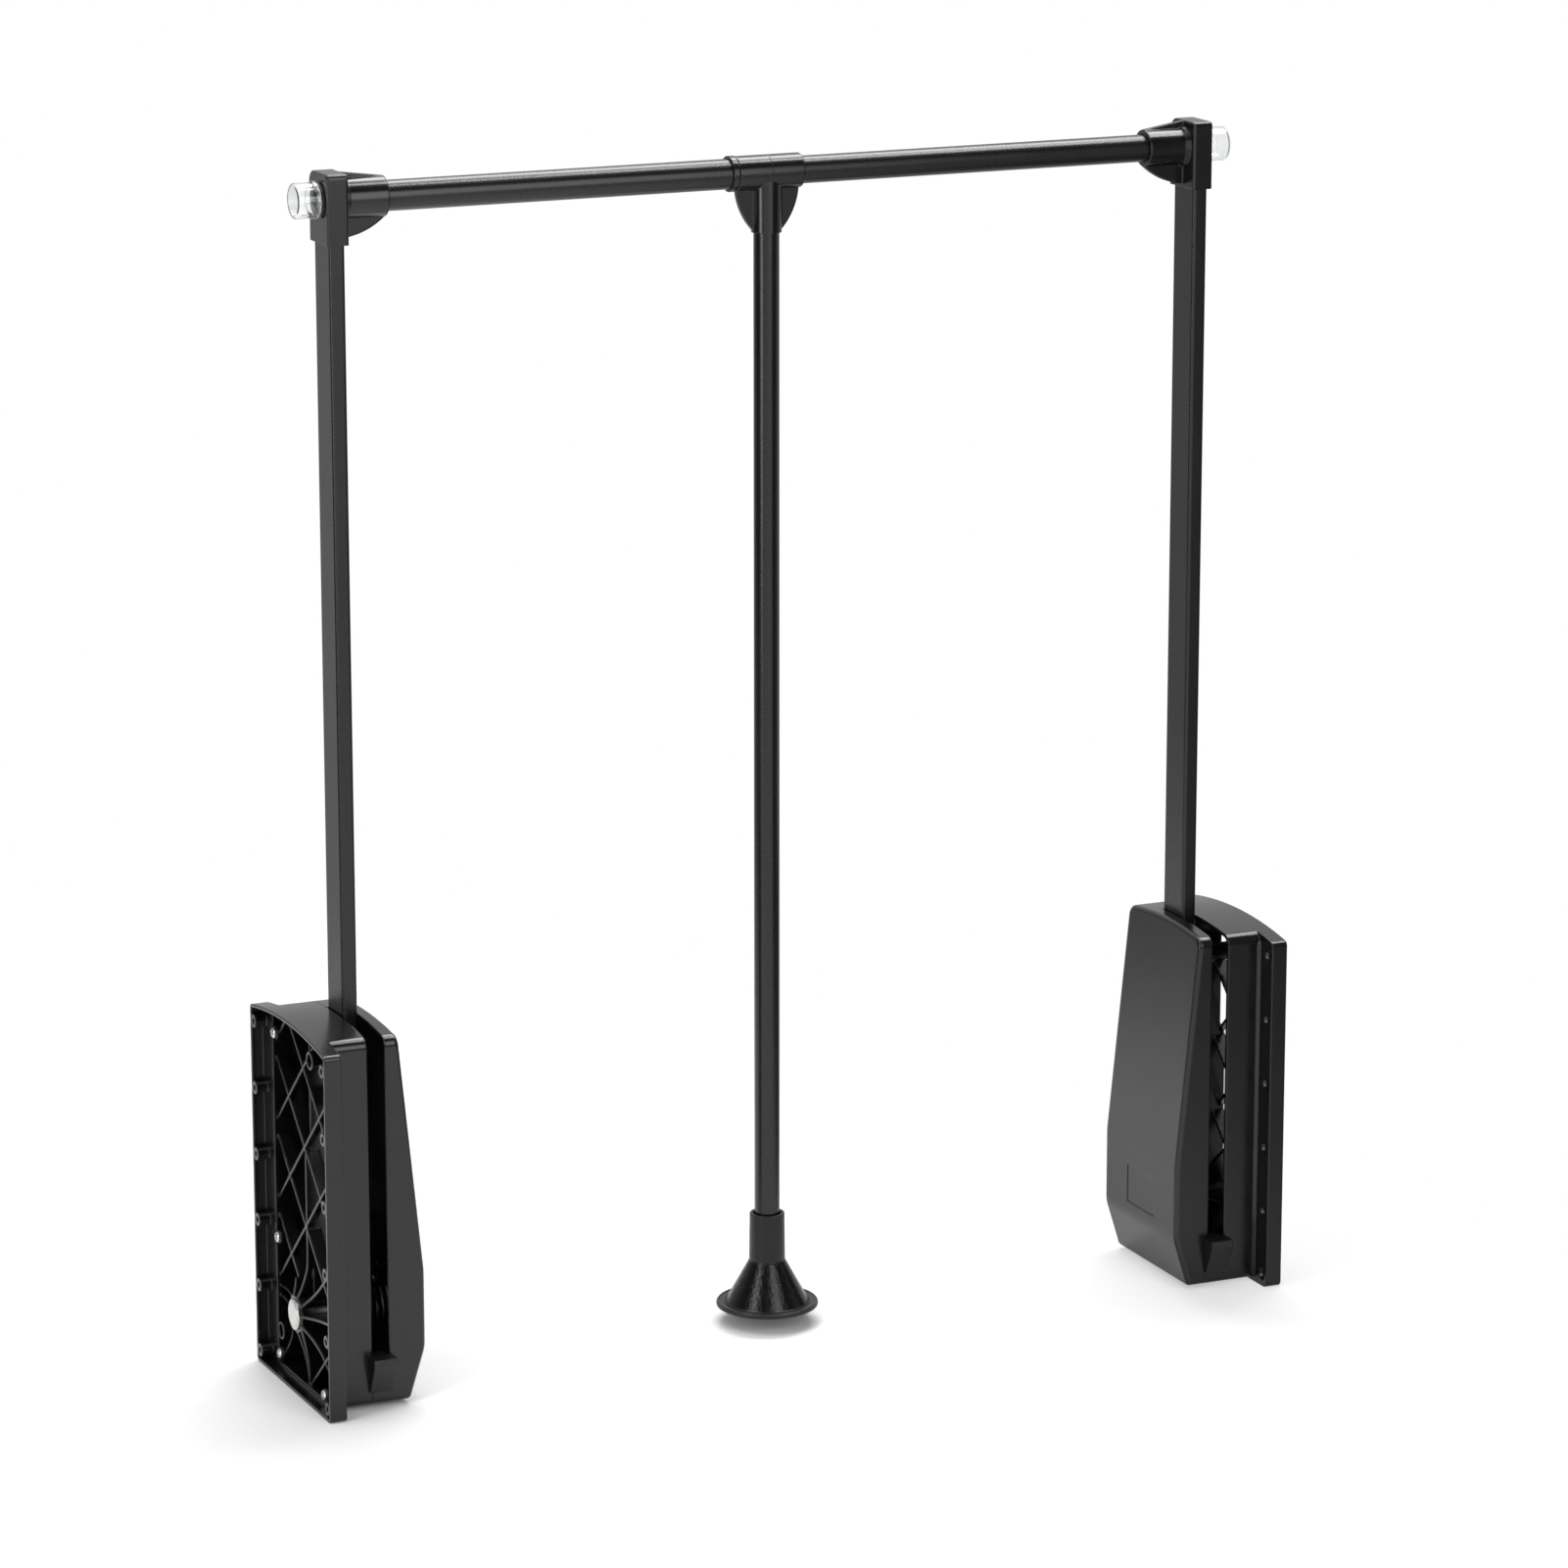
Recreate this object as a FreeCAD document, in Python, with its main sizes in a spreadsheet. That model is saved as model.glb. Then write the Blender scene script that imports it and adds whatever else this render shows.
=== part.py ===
import FreeCAD, Part
import math
import os
import re

import Sketcher

# Pull-down wardrobe rail: two wall housings, two swinging arms, a telescopic
# rail and a pull handle. Lengths are millimetres. X runs across the wardrobe,
# the front is -Y and Z is up. The origin is under the middle, on the floor.
# The left side is drawn; the right side mirrors it across the middle plane.
# Inside a housing, depth is counted from the wall face towards the middle.

SIZES = [
    ("wall_width", "736", "wall face to wall face"),
    ("flange_depth", "150", "front to back edge of the flange"),
    ("flange_height", "260", "flange height at its front and back edges"),
    ("arch_rise", "7", "rise of the arched top over those edges"),
    ("flange_thick", "12", "depth of the flange rim"),
    ("flange_rim", "2.2", "wall of the flange rim"),
    ("flange_floor", "3.5", "plate at the inner side of the flange"),
    ("flange_corner", "4", "corner radius of the flange"),
    ("body_inset", "19", "flange edge to housing body"),
    ("body_lift", "2.5", "underside of the body over the floor"),
    ("body_round", "8", "upper edge radius of the body"),
    ("foot_round", "4", "lower edge radius of the body"),
    ("case_wall", "2.5", "wall of both housing halves"),
    ("base_depth", "37.5", "depth of the seam between the halves"),
    ("slot_width", "13", "width of the arm slot"),
    ("slot_bottom", "12", "foot of the arm slot"),
    ("cover_thick", "40", "cover from the seam to its inner face, at the pivot"),
    ("cover_top_thick", "23.5", "cover at the flange's height"),
    ("cover_foot_thick", "28.5", "cover at its foot"),
    ("cover_high", "94", "height where the cover starts to narrow upwards"),
    ("cover_low", "39", "height where the cover starts to narrow downwards"),
    ("cover_edge", "3.2", "edge radius round the inner face"),
    ("cover_bend", "30", "radius of the bends across the inner face"),
    ("label_recess", "0.4", "depth of the bare label field"),
    ("label_front", "23", "label field in front of mid depth"),
    ("label_wide", "43", "label field along the housing"),
    ("label_low", "48", "label field over the floor"),
    ("label_tall", "28", "label field height"),
    ("hole_inset", "6.3", "flange edge to wall screw hole"),
    ("hole_rows", "6", "wall screw holes in a column"),
    ("hole_first", "9", "height of the lowest wall screw hole"),
    ("hole_last", "11", "highest wall screw hole under the flange's corner"),
    ("hole_radius", "2.25", "wall screw hole"),
    ("hole_sink", "1.9", "countersink of a wall screw hole"),
    ("hole_boss", "4.6", "ring boss round a wall screw hole"),
    ("rib_thick", "2", "lattice rib"),
    ("rib_recess", "11", "lattice edge behind the wall face"),
    ("rise_depth", "10", "depth of the ribs that rise towards the back"),
    ("fall_depth", "5", "depth of the ribs that fall towards the back"),
    ("guide_recess", "15", "edge of the arm's guide wall behind the wall face"),
    ("lattice_pitch", "57", "height between parallel lattice ribs"),
    ("lattice_rise", "62", "height of the lowest rising rib at mid depth"),
    ("lattice_fall", "118", "height of the lowest falling rib at mid depth"),
    ("lattice_slope", "0.93", "slope of the lattice ribs"),
    ("bend_back", "8", "front end of the lowest rising rib behind the pivot"),
    ("column_front", "10.5", "upright rib in front of the pivot"),
    ("column_top", "171", "upper end of that rib"),
    ("column_bend", "36", "its bend towards the pivot, over the pivot"),
    ("petal_high", "51.5", "upper front petal rib over the pivot, at the wall"),
    ("petal_mid", "8.8", "middle front petal rib over the pivot, at the wall"),
    ("petal_low", "33.7", "lower front petal rib under the pivot, at the wall"),
    ("petal_foot", "5", "foot rib under the pivot, at the wall"),
    ("flare_reach", "45", "petal ribs sweep up to the pivot boss inside this radius"),
    ("spare_boss", "6.5", "unused screw boss"),
    ("spare_bore", "4.5", "bore of that boss"),
    ("spare_front", "35", "upper unused boss behind the body's front"),
    ("spare_drop", "8.6", "upper unused boss under the rib that carries it"),
    ("spare_low", "24.5", "lower unused boss under the pivot"),
    ("pivot_back", "8", "pivot and arm behind mid depth"),
    ("pivot_height", "53", "pivot over the floor"),
    ("axle_radius", "6", "pivot axle"),
    ("axle_head", "11", "axle head radius"),
    ("axle_head_depth", "3", "wall face to axle head"),
    ("axle_head_thick", "2.5", "axle head thickness"),
    ("fixed_fit", "0.05", "play of pieces that do not move on each other"),
    ("running_fit", "0.1", "play of the axle in its bush"),
    ("side_play", "0.2", "play beside the arm foot"),
    ("boss_radius", "13", "pivot boss of the base"),
    ("bush_radius", "8", "pivot bush outside"),
    ("washer_radius", "12", "thrust washer outside"),
    ("clip_radius", "9", "retaining clip outside"),
    ("clip_thick", "1.2", "retaining clip"),
    ("groove_depth", "0.8", "clip groove in the axle"),
    ("socket_boss", "10", "axle boss of the cover"),
    ("socket_gap", "1.6", "clip to axle boss of the cover"),
    ("socket_depth", "12.5", "blind hole in that boss"),
    ("axle_end_play", "2", "axle end to the foot of that hole"),
    ("case_screw", "2", "case screw shank radius"),
    ("case_screw_head", "4", "case screw head radius"),
    ("case_screw_cap", "2.8", "case screw head thickness"),
    ("cross_reach", "2.4", "half length of the cross in a screw head"),
    ("cross_half", "0.7", "half width of that cross"),
    ("cross_depth", "1.4", "depth of that cross"),
    ("head_room", "0.3", "gap round a case screw head"),
    ("case_screw_seat", "9", "depth of the case screw seats"),
    ("case_screw_grip", "14.5", "case screw inside the cover"),
    ("case_screw_boss", "4.6", "case screw boss radius"),
    ("case_screw_drop", "15.5", "highest case screw under the flange's corner"),
    ("case_screw_over", "43.5", "middle case screw over the pivot"),
    ("case_screw_low", "8.5", "lowest rear case screw over the body's underside"),
    ("boss_bite", "1", "bosses run into the walls by this"),
    ("boss_room", "2", "front case screw boss to the stop block"),
    ("wire_radius", "2", "spring wire"),
    ("coil_radius", "16", "spring coil to wire centre"),
    ("coil_pitch", "4.6", "spring pitch"),
    ("coil_turns", "3.5", "spring turns"),
    ("coil_gap", "0.7", "start of the cover boss to the first turn"),
    ("leg_length", "26", "spring leg"),
    ("peg_radius", "2.5", "pegs that hold the spring legs"),
    ("peg_height", "22", "spring pegs over the pivot"),
    ("arm_depth", "30", "arm tube front to back"),
    ("arm_thick", "11", "arm tube across"),
    ("arm_wall", "1.2", "arm tube wall"),
    ("arm_corner", "2", "arm tube corner radius"),
    ("arm_start", "27", "pivot to the lower end of the arm tube"),
    ("foot_radius", "15", "arm foot eye"),
    ("spigot_length", "40", "arm foot inside the arm tube"),
    ("rivet_radius", "2.5", "arm foot rivets"),
    ("rivet_first", "12", "lower rivet over the arm tube's lower end"),
    ("rivet_step", "18", "upper rivet over the lower one"),
    ("stop_width", "17", "stop block across"),
    ("stop_reach", "11", "stop block in front of the housing, at its top"),
    ("stop_nose", "5", "upright nose of the stop block"),
    ("stop_lip", "2", "stop block in front of the housing, at its foot"),
    ("stop_tongue", "9", "stop block inside the slot"),
    ("stop_play", "0.3", "gap under the lowered arm"),
    ("tongue_play", "0.2", "stop block beside the slot walls"),
    ("slot_play", "0.5", "slot behind the upright arm"),
    ("rail_height", "828", "rail axis over the floor"),
    ("rail_radius", "10.5", "outer rail tube"),
    ("rail_bore", "9.85", "bore of the outer rail tube"),
    ("rail_inner_radius", "9.6", "inner rail tube"),
    ("rail_inner_bore", "8.8", "bore of the inner rail tube"),
    ("rail_overlap", "190", "inner rail tube inside the outer one"),
    ("head_thick", "15", "connector block across"),
    ("head_depth", "36", "connector block front to back"),
    ("head_below", "29.2", "connector block under the rail axis"),
    ("head_above", "18.4", "connector block over the rail axis"),
    ("head_round", "8", "upper rear corner of the connector block"),
    ("head_front_round", "3", "upper front corner of the connector block"),
    ("head_edge", "1.2", "edges of the connector block"),
    ("socket_wall", "3.3", "wall of the rail socket"),
    ("socket_length", "31", "rail socket"),
    ("collar_step", "1.6", "step of the collar where the socket meets the block"),
    ("collar_length", "2.5", "that collar along the rail"),
    ("web_thick", "4", "fin and gusset of connectors and tee"),
    ("gusset_round", "52", "curve of the connector gusset"),
    ("gusset_lift", "2.5", "gusset over the foot of the block"),
    ("fin_drop", "0.4", "fin under the top of the block"),
    ("tube_wall_gap", "1.5", "connector wall between arm tube and rail"),
    ("grub_radius", "2.5", "clamping screws"),
    ("grub_along", "18.6", "connector block to its clamping screw"),
    ("cap_radius", "12", "bumper cap"),
    ("cap_length", "16", "bumper cap"),
    ("cap_wall", "1.8", "bumper cap wall"),
    ("cap_round", "1.2", "outer edge of the bumper cap"),
    ("cap_spigot", "6", "bumper cap spigot radius"),
    ("cap_spigot_length", "3", "bumper cap spigot"),
    ("cap_seat_thick", "2", "ring on the connector under the cap"),
    ("cap_seat_radius", "11.4", "that ring"),
    ("handle_shift", "5", "handle left of the middle"),
    ("tee_radius", "12", "tee sleeve outside"),
    ("tee_half", "24.5", "half length of the tee"),
    ("tee_play", "0.3", "running gap of the tee on the rail"),
    ("tee_lip", "5", "narrow lip on the inner tube"),
    ("tee_edge", "0.8", "edges of the tee"),
    ("tee_drop", "41.5", "tee stub under the rail axis"),
    ("stub_radius", "10.6", "tee stub outside"),
    ("tee_web_half", "23.6", "half width of the tee gusset"),
    ("tee_web_round", "48", "curve of the tee gusset"),
    ("tee_web_edge", "9", "outer end of the tee gusset under the rail axis"),
    ("tee_web_lift", "1", "tee gusset over the stub's lower end"),
    ("tee_web_sink", "0.5", "tee gusset inside the stub"),
    ("tee_grub_drop", "30", "tee clamping screw under the rail axis"),
    ("ring_length", "4.2", "stop ring beside the tee"),
    ("ring_radius", "12.4", "stop ring outside"),
    ("rod_radius", "9", "pull rod"),
    ("rod_wall", "1", "pull rod wall"),
    ("rod_seat", "14", "rod end under the rail axis"),
    ("grip_lift", "12", "grip rim over the floor"),
    ("rim_radius", "36.5", "grip rim"),
    ("rim_thick", "3", "grip rim"),
    ("rim_edge", "1", "lower edge of the grip rim"),
    ("grip_edge", "0.8", "other edges of the grip"),
    ("cone_radius", "30", "grip cone at the rim"),
    ("cone_rise", "31", "grip cone"),
    ("neck_radius", "12.9", "grip sleeve at the cone"),
    ("neck_top_radius", "12.5", "grip sleeve at its top"),
    ("neck_length", "35", "grip sleeve"),
    ("neck_fillet", "2.5", "curve between cone and sleeve"),
    ("neck_blend", "0.6", "that curve beside the sleeve"),
    ("neck_blend_low", "1", "that curve under the cone's top"),
    ("neck_blend_high", "0.8", "that curve over the cone's top"),
    ("grip_wall", "2.4", "grip wall"),
    ("hollow_top", "11.6", "grip hollow at its ceiling"),
    ("grip_mouth", "1.3", "gap round the rod at the grip's top"),
    ("grip_mouth_depth", "7", "depth of that gap"),
    ("grip_grub_drop", "17.5", "grip clamping screw under the grip's top"),
]

DERIVED = [
    ("wall_face", "-wall_width / 2"),
    ("arch_radius", "((flange_depth / 2)^2 + arch_rise^2) / (2 * arch_rise)"),
    ("arch_centre", "flange_height + arch_rise - arch_radius"),
    ("body_half", "flange_depth / 2 - body_inset"),
    ("body_top", "arch_centre + sqrt(arch_radius^2 - body_half^2)"),
    ("tray_depth", "flange_thick - flange_floor"),
    ("hub_depth", "axle_head_depth + axle_head_thick"),
    ("flare_rise", "rib_recess - hub_depth"),
    ("flare_round", "(flare_rise^2 + (flare_reach - boss_radius)^2) / (2 * flare_rise)"),
    ("bend_place", "pivot_back + bend_back"),
    ("petal_crown", "pivot_height + boss_radius - rib_thick / 2"),
    ("spare_rib", "lattice_fall + 2 * lattice_pitch + lattice_slope * (body_half - spare_front)"),
    ("hole_pitch", "(flange_height - hole_first - hole_last) / (hole_rows - 1)"),
    ("cover_depth", "base_depth + cover_thick"),
    ("case_screw_end", "base_depth + case_screw_grip"),
    ("case_screw_back", "body_half - case_wall - case_screw_boss + boss_bite"),
    ("case_screw_front", "-body_half + stop_tongue + case_screw_boss + boss_room"),
    ("arm_centre", "base_depth + slot_width / 2"),
    ("arm_place", "wall_face + arm_centre"),
    ("foot_near", "arm_centre - arm_thick / 2"),
    ("foot_far", "arm_centre + arm_thick / 2"),
    ("washer_thick", "slot_width / 2 - arm_thick / 2 - side_play"),
    ("clip_place", "foot_far + side_play + washer_thick"),
    ("socket_start", "clip_place + clip_thick + socket_gap"),
    ("socket_end", "socket_start + socket_depth"),
    ("coil_start", "socket_start + coil_gap + wire_radius"),
    ("tube_start", "pivot_height + arm_start"),
    ("tube_end", "rail_height - rail_radius - tube_wall_gap"),
    ("arm_front", "pivot_back - arm_depth / 2"),
    ("arm_back", "pivot_back + arm_depth / 2"),
    ("stop_top", "pivot_height - arm_depth / 2 - stop_play"),
    ("head_outer", "arm_place - head_thick / 2"),
    ("head_inner", "arm_place + head_thick / 2"),
    ("rail_end", "head_outer + cap_seat_thick"),
    ("rail_middle", "-handle_shift + tee_half - tee_lip"),
    ("foot_angle", "atan((cover_thick - cover_foot_thick) / (cover_low - body_lift))"),
    ("taper_angle", "atan((cover_thick - cover_top_thick) / (flange_height - cover_high))"),
    ("foot_bend", "cover_bend * tan(foot_angle / 2)"),
    ("taper_bend", "cover_bend * tan(taper_angle / 2)"),
    ("grip_top", "grip_lift + rim_thick + cone_rise + neck_length"),
    ("grip_ceiling", "rim_thick + cone_rise - grip_wall"),
    ("column_place", "pivot_back - column_front"),
    ("rivet_low", "tube_start + rivet_first"),
    ("connector_grub", "head_inner + grub_along"),
    ("tee_grub_place", "rail_height - tee_grub_drop"),
    ("grip_grub_place", "grip_top - grip_grub_drop"),
]

V = FreeCAD.Vector
doc = FreeCAD.newDocument("pull_down_rail")
sheet = doc.addObject("Spreadsheet::Sheet", "Sizes")
for row, (alias, value, note) in enumerate(SIZES, start=1):
    sheet.set(f"A{row}", note)
    sheet.set(f"B{row}", value)
    sheet.setAlias(f"B{row}", alias)
for row, (alias, formula) in enumerate(DERIVED, start=len(SIZES) + 1):
    sheet.set(f"A{row}", "worked out")
    sheet.set(f"B{row}", "=" + formula)
    sheet.setAlias(f"B{row}", alias)
doc.recompute()
ALIASES = {entry[0] for entry in SIZES + DERIVED}

ALONG_X = FreeCAD.Rotation(V(0, 1, 0), 90)
ALONG_Y = FreeCAD.Rotation(V(1, 0, 0), -90)
ALONG_Z = FreeCAD.Rotation()
SIDE_VIEW = FreeCAD.Rotation(V(1, 1, 1), 120)
FRONT_VIEW = FreeCAD.Rotation(V(1, 0, 0), 90)
PAST = "1"
WELL_PAST = "20"


def tied(text):
    """The expression with each size name pointed at the sheet."""

    def cell(word):
        return f"Sizes.{word[0]}" if word[0] in ALIASES else word[0]

    return re.sub(r"[a-z_]+", cell, text)


def number(text):
    """The present value of an expression."""
    result = sheet.evalExpression(tied(text))
    return float(getattr(result, "Value", result))


def bind(item, prop, text):
    item.setExpression(prop, tied(text))


def place(item, x="0", y="0", z="0"):
    """Tie the position of an object to the sheet."""
    for axis, text in zip("xyz", (x, y, z)):
        bind(item, f"Placement.Base.{axis}", text)
    return item


def box(name, low, high):
    """A box between two corners."""
    solid = doc.addObject("Part::Box", name)
    for prop, start, end in zip(("Length", "Width", "Height"), low, high):
        bind(solid, prop, f"({end}) - ({start})")
    return place(solid, *low)


def rod(name, turn, start, radius, length):
    """A cylinder from a point along an axis."""
    solid = doc.addObject("Part::Cylinder", name)
    solid.Placement.Rotation = turn
    bind(solid, "Radius", radius)
    bind(solid, "Height", length)
    return place(solid, *start)


def cone(name, turn, start, radius, mouth, length):
    """A cone that widens along X, Y or Z to its mouth."""
    solid = doc.addObject("Part::Cone", name)
    solid.Placement.Rotation = turn
    bind(solid, "Radius1", radius)
    bind(solid, "Radius2", mouth)
    bind(solid, "Height", length)
    return place(solid, *start)


def fuse(name, pieces):
    joined = doc.addObject("Part::MultiFuse", name)
    joined.Shapes = pieces
    joined.Refine = True
    return joined


def cut(name, base, tool):
    left_over = doc.addObject("Part::Cut", name)
    left_over.Base = base
    left_over.Tool = tool
    left_over.Refine = True
    return left_over


def common(name, pieces):
    shared = doc.addObject("Part::MultiCommon", name)
    shared.Shapes = pieces
    shared.Refine = True
    return shared


def group(name, pieces):
    together = doc.addObject("Part::Compound", name)
    together.Links = pieces
    return together


def mirrored(source, name):
    """The right-hand twin of a left-hand piece."""
    twin = doc.addObject("Part::Mirroring", name)
    twin.Source = source
    twin.Base = V(0, 0, 0)
    twin.Normal = V(1, 0, 0)
    return twin


def rounded(name, solid, rules):
    """Round the edges that each rule picks, by its radius."""
    doc.recompute()
    feature = doc.addObject("Part::Fillet", name)
    feature.Base = solid
    chosen = []
    for index, edge in enumerate(solid.Shape.Edges, start=1):
        for picks, radius in rules:
            if picks(edge):
                chosen.append((index, number(radius), number(radius)))
                break
    feature.Edges = chosen
    return feature


def spans(edge):
    """Size of an edge along X, Y and Z, from points on it."""
    places = [[getattr(point, axis) for point in edge.discretize(9)] for axis in "xyz"]
    return [max(values) - min(values) for values in places]


def runs_along(edge, axis):
    """True for a straight edge along the axis numbered 0, 1 or 2."""
    sizes = spans(edge)
    return sizes[axis] > 0.01 and all(size < 0.01 for i, size in enumerate(sizes) if i != axis)


def middle(edge):
    return edge.discretize(3)[1]


def arc_between(start, end, radius, turn):
    """The short arc between two points; turn is 1 anticlockwise, -1 clockwise."""
    half = (end - start) / 2
    left = V(-half.y, half.x, 0)
    left.normalize()
    rise = math.sqrt(max(radius**2 - half.Length**2, 0))
    centre = start + half + left * rise * turn
    first, last = (start, end) if turn > 0 else (end, start)
    low = math.atan2(first.y - centre.y, first.x - centre.x)
    high = math.atan2(last.y - centre.y, last.x - centre.x)
    if high < low:
        high += 2 * math.pi
    return Part.ArcOfCircle(Part.Circle(centre, V(0, 0, 1), radius), low, high)


def pin(sketch, geometry, vertex, x, y):
    """Tie a point of a sketch to the sheet."""
    for kind, text in (("DistanceX", x), ("DistanceY", y)):
        index = sketch.addConstraint(Sketcher.Constraint(kind, -1, 1, geometry, vertex, number(text)))
        sketch.setExpression(f"Constraints[{index}]", tied(text))


def outline(sketch, corners):
    """Draw a closed outline.

    A corner is (x, y), or (x, y, radius, turn) where an arc leads to the next corner.
    """
    points = [V(number(corner[0]), number(corner[1]), 0) for corner in corners]
    ends = []
    for index, corner in enumerate(corners):
        start, end = points[index], points[(index + 1) % len(points)]
        if len(corner) == 2:
            geometry = sketch.addGeometry(Part.LineSegment(start, end), False)
            first, last = 1, 2
        else:
            turn = corner[3]
            geometry = sketch.addGeometry(arc_between(start, end, number(corner[2]), turn), False)
            first, last = (1, 2) if turn > 0 else (2, 1)
        ends.append((geometry, first, last))
    for index, (geometry, first, last) in enumerate(ends):
        after, after_first, _ = ends[(index + 1) % len(ends)]
        sketch.addConstraint(Sketcher.Constraint("Coincident", geometry, last, after, after_first))
    for corner, (geometry, first, last) in zip(corners, ends):
        pin(sketch, geometry, first, corner[0], corner[1])
        if len(corner) > 2:
            index = sketch.addConstraint(Sketcher.Constraint("Radius", geometry, number(corner[2])))
            sketch.setExpression(f"Constraints[{index}]", tied(corner[2]))


def ring(sketch, x, y, radius):
    """Draw a circle."""
    circle = Part.Circle(V(number(x), number(y), 0), V(0, 0, 1), number(radius))
    geometry = sketch.addGeometry(circle, False)
    pin(sketch, geometry, 3, x, y)
    index = sketch.addConstraint(Sketcher.Constraint("Radius", geometry, number(radius)))
    sketch.setExpression(f"Constraints[{index}]", tied(radius))


def prism(name, view, corners, start, direction, length):
    """An outline drawn in the side or front view, pulled along a direction."""
    sketch = doc.addObject("Sketcher::SketchObject", name + "_outline")
    sketch.Placement.Rotation = view
    place(sketch, *start)
    outline(sketch, corners)
    solid = doc.addObject("Part::Extrusion", name)
    solid.Base = sketch
    solid.DirMode = "Custom"
    solid.Dir = direction
    solid.Solid = True
    bind(solid, "LengthFwd", length)
    return solid


def new_body(name):
    return doc.addObject("PartDesign::Body", name)


def sketch_on(body, role):
    """A new sketch on one of a body's own origin planes."""
    sketch = body.newObject("Sketcher::SketchObject", body.Name + "_sketch")
    plane = next(item for item in body.Origin.OriginFeatures if item.Role == role)
    sketch.AttachmentSupport = [(plane, "")]
    sketch.MapMode = "FlatFace"
    return sketch


def pad(body, sketch, length):
    feature = body.newObject("PartDesign::Pad", body.Name + "_pad")
    feature.Profile = sketch
    bind(feature, "Length", length)
    body.Tip = feature
    return feature


def turned(name, role, axis, corners):
    """A body of revolution from its half section."""
    body = new_body(name)
    sketch = sketch_on(body, role)
    outline(sketch, corners)
    feature = body.newObject("PartDesign::Revolution", name + "_turn")
    feature.Profile = sketch
    feature.ReferenceAxis = (sketch, [axis])
    feature.Angle = 360
    body.Tip = feature
    return body


def tube(name, turn, start, radius, bore, length):
    """A round tube."""
    body = new_body(name)
    body.Placement.Rotation = turn
    sketch = sketch_on(body, "XY_Plane")
    ring(sketch, "0", "0", radius)
    ring(sketch, "0", "0", bore)
    pad(body, sketch, length)
    return place(body, *start)


def at_depth(text):
    """X of a depth inside the left housing."""
    return f"wall_face + ({text})"


# Housing shapes shared by both halves

def arched(name, half, low, inset, near, far):
    """A block with the arched top, between two depths."""
    edge = f"({half}) - ({inset})"
    curve = f"arch_radius - ({inset})"
    top = f"arch_centre + sqrt(({curve})^2 - ({edge})^2)"
    bottom = f"({low}) + ({inset})"
    corners = [
        (f"-({edge})", bottom),
        (edge, bottom),
        (edge, top, curve, 1),
        (f"-({edge})", top),
    ]
    return prism(name, SIDE_VIEW, corners, (at_depth(near), "0", "0"), V(1, 0, 0), f"({far}) - ({near})")


def corner_rules(upper, lower):
    """Rounding of the four edges that run across the housing."""
    split = number("flange_height / 2")
    return [
        (lambda edge: runs_along(edge, 0) and middle(edge).z > split, upper),
        (lambda edge: runs_along(edge, 0) and middle(edge).z < split, lower),
    ]


def body_block(name, inset, near, far):
    """The housing body, or its hollow when inset by the wall."""
    block = arched(name + "_block", "body_half", "body_lift", inset, near, far)
    return rounded(name, block, corner_rules(f"body_round - ({inset})", f"foot_round - ({inset})"))


def hole_places():
    """Wall screw holes as (y, z), front and rear columns."""
    for side in ("-1", "1"):
        for step in range(int(number("hole_rows"))):
            yield f"{side} * (flange_depth / 2 - hole_inset)", f"hole_first + {step} * hole_pitch"


CASE_SCREWS = [
    ("case_screw_back", "flange_height - case_screw_drop"),
    ("case_screw_back", "pivot_height + case_screw_over"),
    ("case_screw_back", "body_lift + case_screw_low"),
    ("case_screw_front", "body_lift + case_wall + case_screw_boss - boss_bite"),
]

SPARE_BOSSES = [
    ("-body_half + spare_front", "spare_rib - spare_drop"),
    ("body_half - case_wall - spare_boss + boss_bite", "pivot_height - spare_low"),
]


# Petal ribs run from a wall or the upright column to the pivot boss: start and end.
PIVOT = ("pivot_back", "pivot_height")
BEND = ("bend_place", "lattice_rise + lattice_slope * bend_place")
COLUMN_FOOT = ("column_place", "body_lift")
COLUMN_BEND = ("column_place", "pivot_height + column_bend")
PETALS = [
    (("column_place", "column_top"), COLUMN_BEND),
    (COLUMN_BEND, PIVOT),
    (BEND, PIVOT),
    (("-body_half", "pivot_height + petal_high"), PIVOT),
    (("-body_half", "pivot_height + petal_mid"), PIVOT),
    (("-body_half", "pivot_height - petal_low"), PIVOT),
    (("-body_half", "pivot_height - petal_foot"), COLUMN_FOOT),
    (COLUMN_FOOT, ("column_place", "pivot_height")),
    (COLUMN_FOOT, PIVOT),
    (("body_half", "body_lift"), PIVOT),
    (("body_half", "pivot_height"), PIVOT),
    (("body_half", "pivot_height + boss_radius / 2"), ("pivot_back", "petal_crown")),
]


def rib(name, start, end, near, far):
    """A straight rib between two (y, z) points and two depths."""
    run = f"(({end[0]}) - ({start[0]}))"
    rise = f"(({end[1]}) - ({start[1]}))"
    span = f"sqrt({run}^2 + {rise}^2)"
    over = f"{rise} / {span} * rib_thick / 2"
    under = f"{run} / {span} * rib_thick / 2"
    one_side = [(f"({y}) + {over}", f"({z}) - {under}") for y, z in (start, end)]
    other_side = [(f"({y}) - {over}", f"({z}) + {under}") for y, z in (end, start)]
    length = f"({far}) - ({near})"
    return prism(name, SIDE_VIEW, one_side + other_side, (at_depth(near), "0", "0"), V(1, 0, 0), length)


def rib_steps(lowest):
    """Numbers of the parallel ribs that fit over the lowest one."""
    return range(int(number(f"(flange_height + lattice_slope * body_half - {lowest}) / lattice_pitch")) + 1)


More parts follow.
